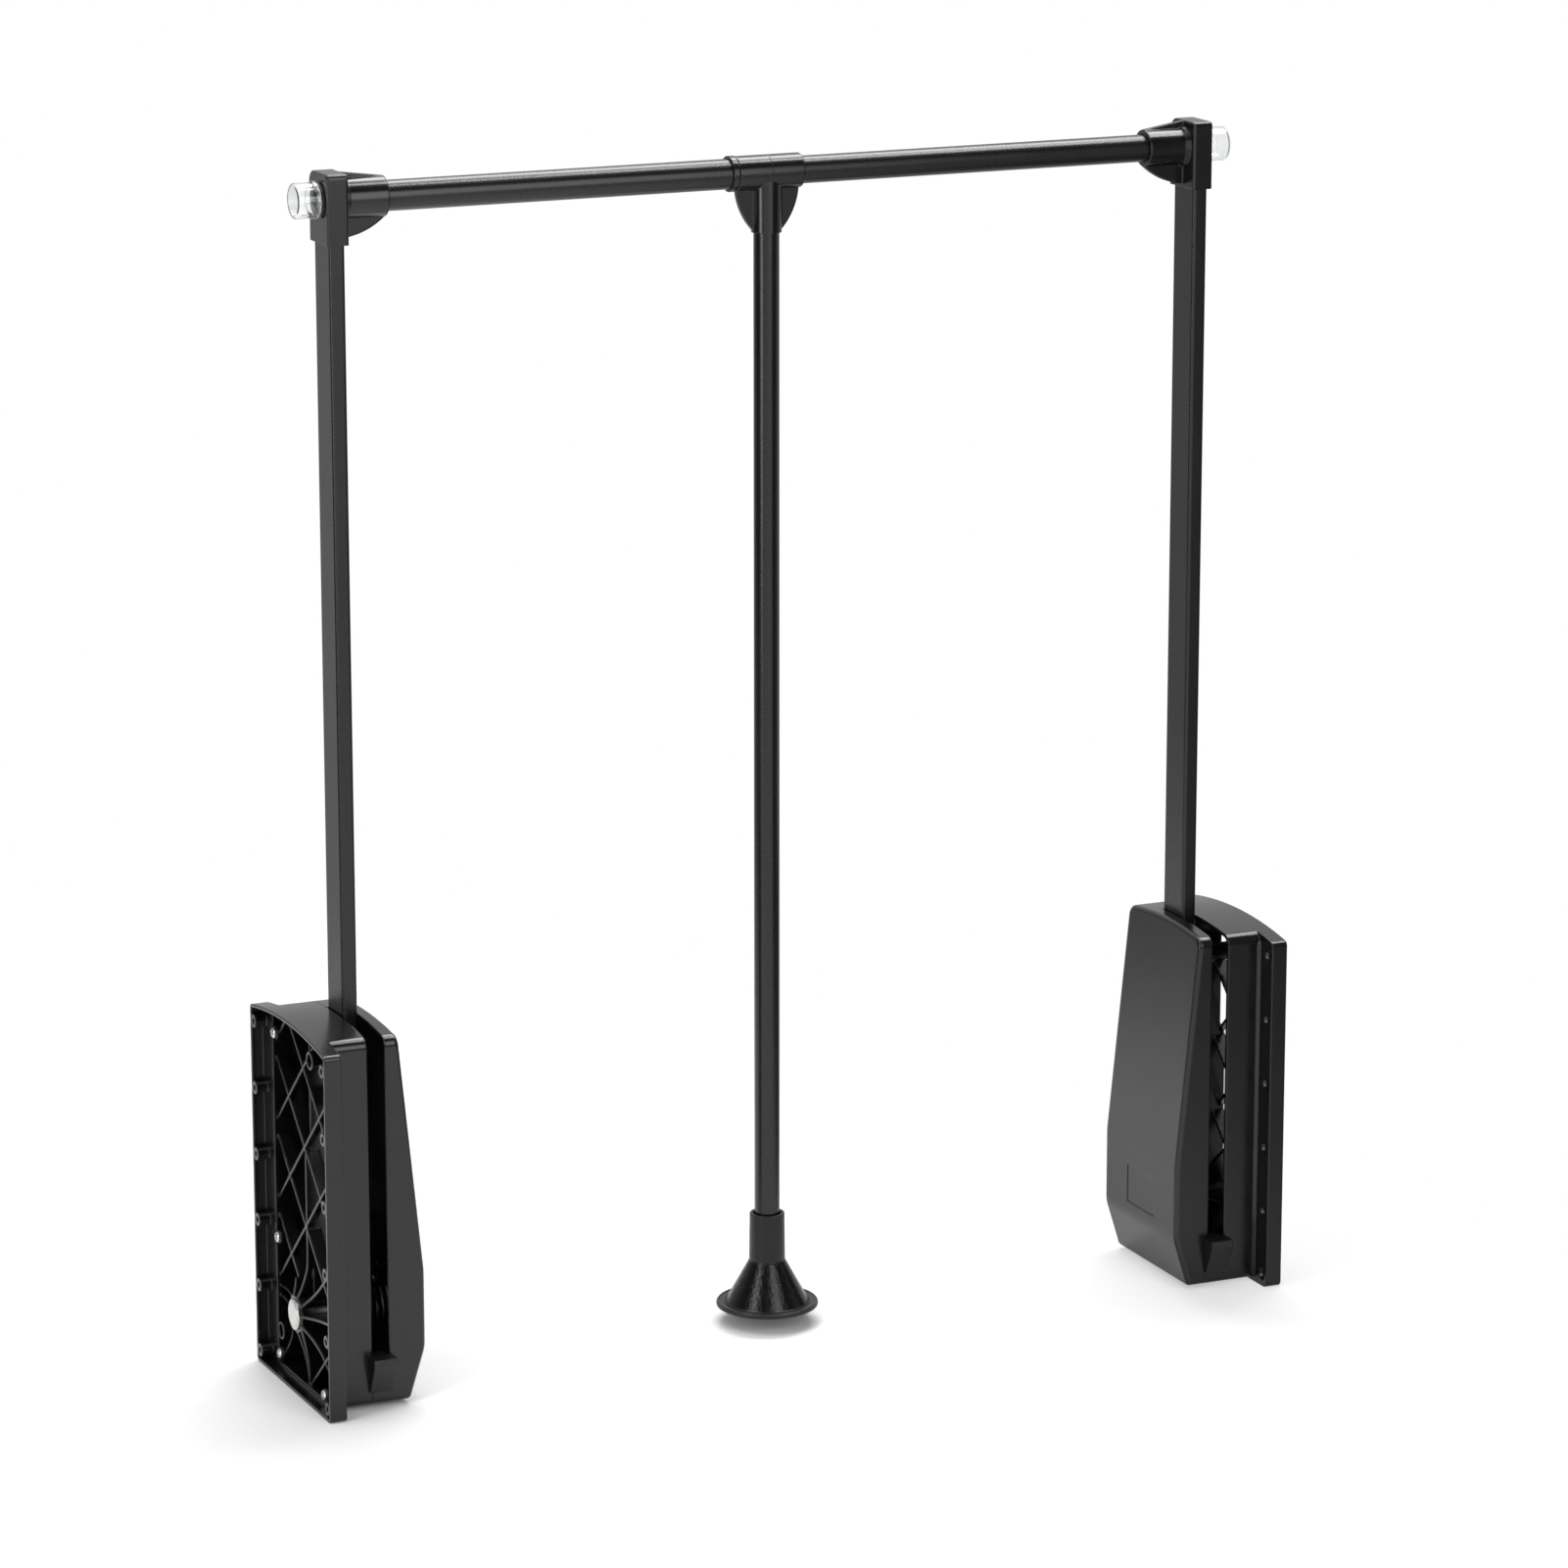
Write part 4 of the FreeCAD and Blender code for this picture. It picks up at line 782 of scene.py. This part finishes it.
@dataclass(frozen=True)
class CrossScrew:
    """A case screw: domed head with a cross recess, threaded shank. Sizes in millimetres."""

    runs: tuple[Run, ...] = (
        ((6.2, 0.0), (6.2, 3.2), 22),  # face, before it is domed
        ((7.0, 3.4), (7.8, 4.0), 4),  # rounded rim
        ((7.9, 4.0), (8.95, 4.0), 3),  # wall
        ((9.0, 3.9), (9.0, 2.1), 4),  # seat
        ((9.0, 2.1), (9.0, 1.98), 2),  # neck
        ((9.05, 1.95), (50.0, 1.95), 150),  # thread
        ((50.5, 1.6), (52.0, 0.0), 5),  # point
    )
    face_run: int = 0
    seat_run: int = 3
    thread_run: int = 5
    dome: float = 0.75
    recess_depth: float = 1.3
    recess_reach: Span = (2.0, 2.5)
    recess_half: Span = (0.45, 0.75)
    pitch: float = 1.4
    thread_depth: float = 0.3
    columns: int = 56

    def bar(self, along: Grid, across: Grid) -> Grid:
        """1 on one bar of the recess, 0 beside it."""
        return (1 - eased(along, *self.recess_reach)) * (1 - eased(across, *self.recess_half))

    def points(self, start: Point) -> Grid:
        """The whole screw.

        The face's depth grows with the square of the radius. The recess is the larger of
        two soft bars that cross, and is pressed through to the seat's inner edge. The thread
        takes a triangle wave of depth and angle, one pitch a turn, off the shank's radius.

        Args:
            start: where the screw's line meets the wall face, in millimetres.

        Returns:
            Points of shape (rows, columns, 3), in metres.
        """
        lathe = Lathe(start, **ALONG_X, columns=self.columns)
        profile = joined(self.runs)
        first, second = (np.abs(part) / MM for part in lathe.across(profile))
        cross = np.maximum(self.bar(first, second), self.bar(second, first))
        _, (_, face_radius), _ = self.runs[self.face_run]
        dome = self.dome * (profile[:, 1:] / (face_radius * MM)) ** 2
        domed = on_runs(self.runs, self.face_run) * dome
        pressed = on_runs(self.runs, self.face_run, self.seat_run) * self.recess_depth * cross
        turns = profile[:, :1] / (self.pitch * MM) - lathe.angles / FULL_TURN
        wave = np.abs(2 * (turns % 1.0) - 1)
        cut = on_runs(self.runs, self.thread_run) * self.thread_depth * wave
        return lathe.turn(profile, (domed + pressed) * MM, cut * MM)


@dataclass(frozen=True)
class SocketScrew:
    """A headless clamping screw with a six-sided socket in its back end. Sizes in millimetres."""

    length: float
    radius: float = 2.5
    key_half: float = 1.25
    key_soft: float = 0.1
    socket_depth: float = 1.4
    socket_share: float = 0.6
    columns: int = 48

    def runs(self) -> tuple[Run, ...]:
        """The profile.

        Returns:
            The runs of back end, rounded edge, wall and front end.
        """
        length, radius = self.length, self.radius
        return (
            ((0.0, 0.0), (0.0, radius - 0.35), 18),
            ((0.05, radius - 0.25), (0.3, radius), 3),
            ((0.4, radius), (length - 0.1, radius), 4),
            ((length, radius - 0.1), (length, 0.0), 5),
        )

    def points(self, centre: Point) -> Grid:
        """The whole screw.

        The socket is sunk where the largest of three distances, square to the sides of the
        six-sided key, is under half its width.

        Args:
            centre: middle of the back end, in millimetres.

        Returns:
            Points of shape (rows, columns, 3), in metres.
        """
        lathe = Lathe(centre, **FROM_BACK, columns=self.columns)
        profile = joined(self.runs())
        first, second = (part[..., None] / MM for part in lathe.across(profile))
        facing = np.arange(3) * np.pi / 3
        key = np.abs(first * np.cos(facing) + second * np.sin(facing)).max(axis=2)
        hollow = 1 - eased(key, self.key_half - self.key_soft, self.key_half + self.key_soft)
        depth = min(self.socket_depth, self.socket_share * self.length) * MM
        return lathe.turn(profile, on_runs(self.runs(), 0) * depth * hollow)


# Sub-assemblies


@dataclass
class Assembly:
    """A group of CAD nodes that get their finishes together."""

    def dress_nodes(self, names: dict[str, str]) -> None:
        """Give CAD nodes their finishes.

        Args:
            names: the node's name and its kind in the table of finishes.
        """
        for node, kind in names.items():
            finish = NODE_FINISHES[kind]
            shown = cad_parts[node]
            shown.data.materials.clear()
            shown.data.materials.append(finish.material())
            LOG.info("%s wears %s", node, finish.name)


@dataclass
class SideAssembly(Assembly):
    """A sub-assembly that both sides have: worked out on the left and mirrored for the right."""

    side: Side
    part: str = ""
    kinds: tuple[str, ...] = ()

    def piece(
        self, name: str, grids: list[Grid], finish: Finish, replaced: str | None = None
    ) -> None:
        """Make a piece of this side.

        Args:
            name: the piece's name without the side.
            grids: its left-hand points.
            finish: its material.
            replaced: the CAD node that it stands for, without the side.
        """
        word = self.side.word
        if self.side is Side.RIGHT:
            grids = [mirrored(grid) for grid in grids]
        node = f"{word}_{replaced}" if replaced else None
        mesh_piece(f"{word}_{name}", grids, finish, f"{word}_{self.part}", node)

    def dress(self) -> None:
        """Dress this side's CAD nodes."""
        self.dress_nodes({f"{self.side.word}_{kind}": kind for kind in self.kinds})


@dataclass
class Housing(SideAssembly):
    """A wall housing: moulded halves, pivot, spring and screws. Sizes in millimetres."""

    part: str = "housing"
    kinds: tuple[str, ...] = (
        "base", "cover", "stop_block", "axle_clip", "thrust_washers", "pivot_bush",
    )
    wall_face: float = -368.0
    pivot_back: float = RAIL_BACK
    pivot_height: float = 53.0
    coil_start: float = 56.0
    coil_radius: float = 16.0
    coil_pitch: float = 4.6
    coil_turns: float = 3.5
    coil_rows: int = 260
    wire_radius: float = 2.0
    wire_columns: int = 20
    tip_rows: int = 8
    leg: float = 26.0
    leg_rows: int = 12
    screw: CrossScrew = CrossScrew()
    screw_places: tuple[Span, ...] = ((49.9, 244.5), (49.9, 96.5), (49.9, 11.0), (-40.4, 8.6))
    axle_runs: tuple[Run, ...] = (
        ((3.0, 0.0), (3.35, 8.6), 26),  # domed face
        ((3.6, 8.8), (3.6, 9.2), 3),  # ring groove
        ((3.45, 9.4), (3.7, 10.4), 4),  # rim
        ((3.9, 10.8), (4.3, 11.0), 3),  # rounded edge
        ((4.4, 11.0), (5.4, 11.0), 3),  # wall of the head
        ((5.5, 10.8), (5.5, 6.0), 5),  # shoulder
        ((5.5, 6.0), (50.45, 6.0), 6),  # shaft
        ((50.5, 6.0), (50.5, 5.2), 3),  # clip groove, near side
        ((50.5, 5.2), (51.7, 5.2), 3),  # clip groove, floor
        ((51.7, 5.2), (51.7, 6.0), 3),  # clip groove, far side
        ((51.75, 6.0), (63.0, 6.0), 4),  # end of the shaft
        ((63.1, 5.95), (63.8, 5.2), 4),  # chamfer
        ((63.8, 5.0), (63.8, 0.0), 4),  # end face
    )
    axle_columns: int = 72
    flange_thick: float = 12.0
    body_half: float = 56.0
    body_low: float = 2.5
    body_high: float = 263.3
    body_round: float = 8.0
    foot_round: float = 4.0
    fillet: float = 2.3
    fillet_root: float = 0.12
    corner_rows: int = 10
    side_rows: int = 60
    taper_rows: int = 9
    bow_rows: int = 9

    def build(self) -> None:
        """Make the pieces and dress the nodes."""
        self.spring()
        self.screws()
        self.axle()
        self.root_fillets()
        self.dress()

    def spring(self) -> None:
        """The torsion spring: a helix with two straight legs and rounded wire ends.

        The helix is (pitch * a / 2 pi, -r cos a, -r sin a) over the angle a; each leg
        leaves it along its tangent. At the wire's ends the radius follows a half circle.
        """
        angle = np.linspace(0, FULL_TURN * self.coil_turns, self.coil_rows)
        climb, radius, wire = self.coil_pitch / FULL_TURN, self.coil_radius, self.wire_radius
        coil = np.stack([climb * angle, -radius * np.cos(angle), -radius * np.sin(angle)], axis=1)
        end = angle[[0, -1]]
        way = np.stack([np.full(2, climb), radius * np.sin(end), -radius * np.cos(end)], axis=1)
        way /= np.linalg.norm(way, axis=1, keepdims=True)
        bend = 1 - np.cos(np.linspace(0, np.pi / 2, self.tip_rows))
        leg = np.linspace(wire, self.leg, self.leg_rows)
        reach = np.concatenate([wire * bend[:-1], leg[:-1]])
        first = coil[0] - (self.leg - reach)[:, None] * way[0]
        last = coil[-1] + (self.leg - reach[::-1])[:, None] * way[1]
        path = np.concatenate([first, coil, last])
        path += np.array([self.wall_face + self.coil_start, self.pivot_back, self.pivot_height])
        short = wire - np.minimum(reach, wire)
        tip = np.sqrt(np.maximum(wire**2 - short**2, 0.0))
        thick = np.concatenate([tip, np.full(len(coil), wire), tip[::-1]])
        points = swept(path * MM, thick * MM, self.wire_columns, ALONG_X["along"])
        self.piece("spring_coil", [points], SPRING, "torsion_spring")

    def screws(self) -> None:
        """The case screws that hold the two halves together."""
        grids = [self.screw.points((self.wall_face, *place)) for place in self.screw_places]
        self.piece("cross_screws", grids, ZINC, "case_screws")

    def axle(self) -> None:
        """The pivot axle: a domed head with a ring groove, a clip groove and a chamfered end."""
        start = (self.wall_face, self.pivot_back, self.pivot_height)
        points = Lathe(start, **ALONG_X, columns=self.axle_columns).turn(joined(self.axle_runs))
        self.piece("turned_axle", [points], ZINC, "pivot_axle")

    def root_fillets(self) -> None:
        """Soft fillets where the body stands on the flange, along its front and its back.

        The path climbs the body's side and follows its round corners half way; the profile
        is a hollow quarter circle between flange and body, and shrinks away at both ends.
        """
        corner = np.linspace(0, np.pi / 4, self.corner_rows)
        first, last = self.body_low + self.foot_round, self.body_high - self.body_round
        climb = np.linspace(first, last, self.side_rows)[1:-1]
        low = np.stack([-np.cos(corner), -np.sin(corner)], axis=1)[::-1]
        high = np.stack([-np.cos(corner), np.sin(corner)], axis=1)
        out = np.concatenate([low, np.tile([-1.0, 0.0], (len(climb), 1)), high])
        foot = np.array([self.foot_round - self.body_half, first]) + self.foot_round * low
        top = np.array([self.body_round - self.body_half, last]) + self.body_round * high
        wall = np.stack([np.full(len(climb), -self.body_half), climb], axis=1)
        path = np.concatenate([foot, wall, top])
        count = np.arange(len(path))
        size = self.fillet * eased(np.minimum(count, count[::-1]), 0, self.taper_rows)
        bow = np.linspace(0, np.pi / 2, self.bow_rows)
        hollow = np.stack([1 - np.sin(bow), 1 - np.cos(bow)], axis=1)
        root = -self.fillet_root
        profile = np.concatenate([[[root, root], [1.0, root]], hollow, [[root, 1.0]]])
        beside, above = (size[:, None] * part for part in profile.T)
        depth = self.wall_face + self.flange_thick + above
        flat = path[:, None] + beside[..., None] * out[:, None]
        front = np.concatenate([depth[..., None], flat], axis=2) * MM
        back = (front * np.array([1.0, -1.0, 1.0]))[:, ::-1]
        self.piece("root_fillets", [front, back], HOUSING)


@dataclass
class Arm(SideAssembly):
    """A swinging arm with its foot, connector and clear cap. Sizes in millimetres."""

    part: str = "arm"
    kinds: tuple[str, ...] = ("arm_tube", "arm_foot", "foot_rivets", "rail_connector")
    rail_back: float = RAIL_BACK
    rail_height: float = 828.0
    cap_start: float = -333.5
    cap_length: float = 16.0
    cap_radius: float = 12.0
    cap_wall: float = 1.3
    cap_edge: float = 1.6
    cap_hollow: float = 0.6
    cap_step: float = 0.2
    cap_rows: int = 8
    bow_rows: int = 9
    cap_columns: int = 72
    # The ring's section: depth from the connector and height over the cap's wall
    ring_section: tuple[Span, ...] = (
        (0.1, 0.05), (0.1, 0.55), (0.5, 0.75), (1.6, 0.75), (1.8, 0.75),
        (2.9, 0.75), (3.3, 0.45), (3.3, 0.05), (0.1, 0.05),
    )
    ring_columns: int = 240
    notched_rows: tuple[int, ...] = (1, 2, 3)
    notches: int = 12
    notch_start: Span = (0.30, 0.34)
    notch_end: Span = (0.66, 0.70)
    notch_share: float = 0.045
    screw_along: float = -297.9
    socket_wall: float = 3.3

    def build(self) -> None:
        """Make the pieces and dress the nodes."""
        self.cap()
        self.cap_ring()
        self.clamp()
        self.dress()

    def cap(self) -> None:
        """The clear bumper cap: a thin cup, its free end rounded inside and out.

        The profile runs from the axis over the outer face, round its edge, along the wall to
        the connector and back inside, all turned about the rail's axis.
        """
        far, outer, step = self.cap_length, self.cap_radius, self.cap_step
        floor, inner = far - self.cap_wall, outer - self.cap_wall
        bow = np.linspace(0, np.pi / 2, self.bow_rows)
        curve = np.stack([1 - np.cos(bow), 1 - np.sin(bow)], axis=1)
        outside = np.array([far, outer]) - self.cap_edge * curve
        inside = (np.array([floor, inner]) - self.cap_hollow * curve)[::-1]
        profile = np.concatenate([
            np.linspace((far, 0.0), (far, outside[0, 1] - step), self.cap_rows),
            outside,
            np.linspace((far - self.cap_edge - step, outer), (0.0, outer), self.cap_rows),
            np.linspace((0.0, inner), (floor - self.cap_hollow - step, inner), self.cap_rows),
            inside,
            np.linspace((floor, inside[-1, 1] - step), (floor, 0.0), self.cap_rows),
        ])
        points = self.cap_lathe(self.cap_columns).turn(profile * np.array([-MM, MM]))
        self.piece("clear_cup", [points], CLEAR, "bumper_cap")

    def cap_lathe(self, columns: int) -> Lathe:
        """A lathe on the rail's axis that starts at the cap's foot."""
        start = (self.cap_start, self.rail_back, self.rail_height)
        return Lathe(start, **ALONG_X, columns=columns)

    def cap_ring(self) -> None:
        """A clear ring round the cap's foot with notches along its connector edge.

        Its section is a soft rectangle; the outer radius falls inside each notch by a share
        of itself, on the rows next to the connector.
        """
        depth, height = np.array(self.ring_section).T
        profile = np.stack([-depth, self.cap_radius + height], axis=1) * MM
        lathe = self.cap_lathe(self.ring_columns)
        turn = (self.notches * lathe.angles / FULL_TURN) % 1.0
        notch = eased(turn, *self.notch_start) * (1 - eased(turn, *self.notch_end))
        rows = np.isin(np.arange(len(profile)), self.notched_rows)[:, None]
        points = lathe.turn(profile, cut=self.notch_share * profile[:, 1:] * rows * notch)
        self.piece("cap_ring", [points], CLEAR)

    def clamp(self) -> None:
        """The clamping screw at the back of the connector's socket."""
        rail = Rail.outer_radius if self.side is Side.LEFT else Rail.inner_radius
        centre = (self.screw_along, self.rail_back + rail + self.socket_wall, self.rail_height)
        points = SocketScrew(self.socket_wall).points(centre)
        self.piece("clamp_screw", [points], ZINC, "connector_screw")


@dataclass
class Rail(Assembly):
    """The telescopic rail and its stop ring. Sizes in millimetres."""

    outer_radius: float = 10.5
    inner_radius: float = 9.6
    names: tuple[str, ...] = ("rail_outer_tube", "rail_inner_tube", "rail_stop_ring")

    def build(self) -> None:
        """Dress the nodes."""
        self.dress_nodes({name: name for name in self.names})


@dataclass
class Handle(Assembly):
    """The pull handle: tee, rod and bell grip. Sizes in millimetres.

    The two screws are given by their height and the radius that they end at, the beads on
    the grip's rim by their own radius about the rod and that of their section.
    """

    names: tuple[str, ...] = ("handle_tee", "handle_grip", "handle_rod")
    across: float = HANDLE_ACROSS
    back: float = RAIL_BACK
    rod_radius: float = 9.0
    tee_screw: Span = (798.0, 10.6)
    grip_screw: Span = (63.5, 12.5)
    rim_top: float = GRIP_RIM_TOP
    beads: tuple[Span, ...] = ((30.4, 0.8), (35.4, 0.55))
    bead_rows: int = 17
    bead_columns: int = 144

    def build(self) -> None:
        """Make the rim's beads and the clamping screws and dress the nodes."""
        self.rim_beads()
        self.clamps()
        self.dress_nodes({name: name for name in self.names})

    def rim_beads(self) -> None:
        """Two fine beads on the grip's rim, at the cone's foot and beside the edge.

        Each is a ring: r + s cos v from the rod's axis and s sin v above the rim.
        """
        bow = np.linspace(0, FULL_TURN, self.bead_rows)
        start = (self.across, self.back, self.rim_top)
        lathe = Lathe(start, **UPRIGHT, columns=self.bead_columns)
        sections = [
            np.stack([size * np.sin(bow), radius + size * np.cos(bow)], axis=1) * MM
            for radius, size in self.beads
        ]
        mesh_piece("grip_rim_beads", [lathe.turn(part) for part in sections], GRIP, "handle")

    def clamps(self) -> None:
        """The clamping screws at the back of the tee and of the grip."""
        grids = [
            SocketScrew(radius - self.rod_radius).points((self.across, self.back + radius, height))
            for height, radius in (self.tee_screw, self.grip_screw)
        ]
        mesh_piece("handle_clamp_screws", grids, ZINC, "handle", "handle_screws")


# Studio


@dataclass(frozen=True)
class Softbox:
    """A soft lamp: where it stands, what it looks at, its size and the brightness of its face.

    A lamp for gloss only draws highlights and throws no shadow on the floor.
    """

    name: str
    place: Point
    target: Point
    size: Span
    brightness: float
    gloss_only: bool = False

    def build(self) -> None:
        """Make the lamp; its power is pi times its area times the brightness."""
        lamp = bpy.data.lights.new(self.name, "AREA")
        lamp.shape = "RECTANGLE"
        lamp.size, lamp.size_y = self.size
        lamp.energy = math.pi * self.size[0] * self.size[1] * self.brightness
        made = bpy.data.objects.new(self.name, lamp)
        sight = Vector(self.target) - Vector(self.place)
        made.location = self.place
        made.rotation_euler = sight.to_track_quat("-Z", "Y").to_euler()
        made.visible_camera = False
        made.visible_diffuse = not self.gloss_only
        bpy.context.scene.collection.objects.link(made)


@dataclass
class Studio:
    """Pale floor that fades into a white backdrop, a dim room in front and five softboxes.

    Lengths are in metres. The pairs of the world are ranges of a ray's direction over which
    its brightness changes.
    """

    floor_half: float = 3.2
    floor_drop: float = 0.2 * MM
    floor_tone: Colour = (0.89, 0.89, 0.89)
    floor_fibre: float = 0.8
    fibre_share: float = 0.985
    floor_rough: float = 0.9
    floor_lift: float = 0.05
    floor_front: float = 0.5
    floor_fade: Span = (1.0, 1.9)
    dark_side: Span = (1.0, 0.3)
    dark_fade: Span = (0.06, 0.58)
    room: float = 0.22
    dim: float = 0.08
    backdrop: Span = (-0.10, 0.45)
    backdrop_turn: float = 0.5
    backdrop_low: float = 0.64
    backdrop_high: float = 1.0
    backdrop_rise: Span = (0.2, 0.7)
    backdrop_left: float = 0.38
    left_fade: Span = (-0.48, -0.33)
    apron: float = 1.1
    apron_ahead: Span = (0.5, 0.8)
    apron_below: Span = (0.0, 0.12)
    apron_side: Span = (0.36, 0.44)
    lamps: tuple[Softbox, ...] = (
        Softbox("rear_strip", (0.8, 1.15, 3.0), (0.2, 0.2, 0.6), (2.6, 1.0), 10.0),
        Softbox(
            "edge_strip", (1.3, -0.2, 3.1), (1.3, -0.2, 0.0), (1.8, 0.35), 17.0, gloss_only=True
        ),
        Softbox("overhead_box", (-1.1, -0.2, 3.2), (-0.3, 0.0, 0.0), (2.2, 2.2), 2.8),
        Softbox("front_box", (0.35, -2.15, 1.35), (0.0, 0.0, 0.6), (1.2, 1.4), 3.2),
        Softbox("left_strip", (-2.1, -0.9, 0.95), (0.0, 0.0, 0.5), (0.6, 1.8), 6.0),
    )

    def build(self) -> None:
        """Make floor, world and lamps."""
        bpy.context.scene.view_settings.view_transform = "Standard"
        self.floor()
        self.world()
        for lamp in self.lamps:
            lamp.build()

    @staticmethod
    def rays(graph: Graph) -> tuple[Value, Value]:
        """The kinds of ray that meet floor and world.

        Args:
            graph: the nodes of the floor or the world.

        Returns:
            A value that is 1 for camera and clear rays, and one that is 1 for mirror rays.
        """
        camera = graph.node("ShaderNodeLightPath", output="Is Camera Ray")
        shown = camera.most(camera.sibling("Is Transmission Ray"))
        return shown, camera.sibling("Is Glossy Ray")

    def floor(self) -> None:
        """The plane that the object stands on."""
        half, low = self.floor_half, -self.floor_drop
        corners = [(-half, -half, low), (half, -half, low), (half, half, low), (-half, half, low)]
        mesh = bpy.data.meshes.new("studio_floor")
        mesh.from_pydata(corners, [], [(0, 1, 2, 3)])
        material = bpy.data.materials.new("studio_card")
        material.use_nodes = True
        graph = Graph(material.node_tree)
        graph.close(self.card(graph))
        mesh.materials.append(material)
        made = bpy.data.objects.new("studio_floor", mesh)
        bpy.context.scene.collection.objects.link(made)

    def card(self, graph: Graph) -> Value:
        """Pale card, lifted to white for the rays that show it.

        It fades out in a circle about a place ahead of the object, and towards the side
        where the front of the object mirrors the dark of the room.

        Args:
            graph: the floor's nodes.

        Returns:
            The surface shader.
        """
        fibre, dull = graph.noise(self.floor_fibre), toned(self.floor_tone, self.fibre_share)
        lifted = graph.principled({
            "Base Color": graph.mix(fibre, dull, self.floor_tone),
            "Roughness": self.floor_rough,
            "Specular IOR Level": 0.0,
            "Emission Color": WHITE,
            "Emission Strength": self.floor_lift,
        })
        plain = graph.node("ShaderNodeBsdfDiffuse", inputs={"Color": (*self.floor_tone, 1.0)})
        shown, mirror = self.rays(graph)
        paper = graph.blend(shown.most(mirror), plain, lifted)
        x, y, _ = graph.parts()
        ahead = y + self.floor_front
        far = ((x * x + ahead * ahead) ** 0.5).step(*self.floor_fade)
        dark = (self.dark_side[0] * x + self.dark_side[1] * y).step(*self.dark_fade)
        return graph.blend(far.most(dark), paper, graph.node("ShaderNodeBsdfTransparent"))

    def world(self) -> None:
        """White where it shows; for mirror rays a pale backdrop and apron in a dim room.

        The backdrop stands behind, turned a little to the right, dimmer at its foot and on
        the left. The apron carries the floor on, ahead and to the left. All other light
        meets an even room.
        """
        world = bpy.data.worlds.new("studio_air")
        world.use_nodes = True
        bpy.context.scene.world = world
        graph = Graph(world.node_tree)
        shown, mirror = self.rays(graph)
        right, back, up = graph.parts()
        behind = (back + self.backdrop_turn * right).step(*self.backdrop)
        gain = self.backdrop_low - self.backdrop_left
        foot = self.backdrop_left + gain * right.step(*self.left_fade)
        wall = foot + (self.backdrop_high - foot) * up.step(*self.backdrop_rise)
        ahead = (-back).step(*self.apron_ahead) * (-up).step(*self.apron_below)
        apron = self.apron * ahead * (1.0 - right.step(*self.apron_side))
        mirrored_light = self.dim + (wall - self.dim) * behind + apron
        strength = self.room * (1.0 - mirror) + mirror * mirrored_light
        inputs = {"Color": WHITE, "Strength": strength.most(shown)}
        graph.close(graph.node("ShaderNodeBackground", inputs=inputs), "ShaderNodeOutputWorld")


@dataclass
class PhotoCamera:
    """The photograph's point of view."""

    place: Point = (-1.7319, -3.8741, 1.4250)
    yaw: float = 0.4214
    pitch: float = 0.2377
    focal_pixels: float = 6352.5
    sensor: float = 36.0
    clip: Span = (0.05, 100.0)

    def build(self) -> None:
        """Make the camera; its lens is the focal length in pixels over the image's width."""
        data = bpy.data.cameras.new("photo_camera")
        data.sensor_width = self.sensor
        data.lens = self.sensor * self.focal_pixels / IMAGE_PIXELS
        data.clip_start, data.clip_end = self.clip
        made = bpy.data.objects.new("photo_camera", data)
        flat = math.cos(self.pitch)
        ahead = (math.sin(self.yaw) * flat, math.cos(self.yaw) * flat, -math.sin(self.pitch))
        made.location = self.place
        made.rotation_euler = Vector(ahead).to_track_quat("-Z", "Y").to_euler()
        bpy.context.scene.collection.objects.link(made)
        bpy.context.scene.camera = made


def main() -> None:
    """Build every sub-assembly, then the studio and the camera."""
    logging.basicConfig(level=logging.INFO, format="%(name)s: %(message)s")
    for side in Side:
        Housing(side).build()
        Arm(side).build()
    Rail().build()
    Handle().build()
    Studio().build()
    PhotoCamera().build()


if __name__ == "__main__":
    main()
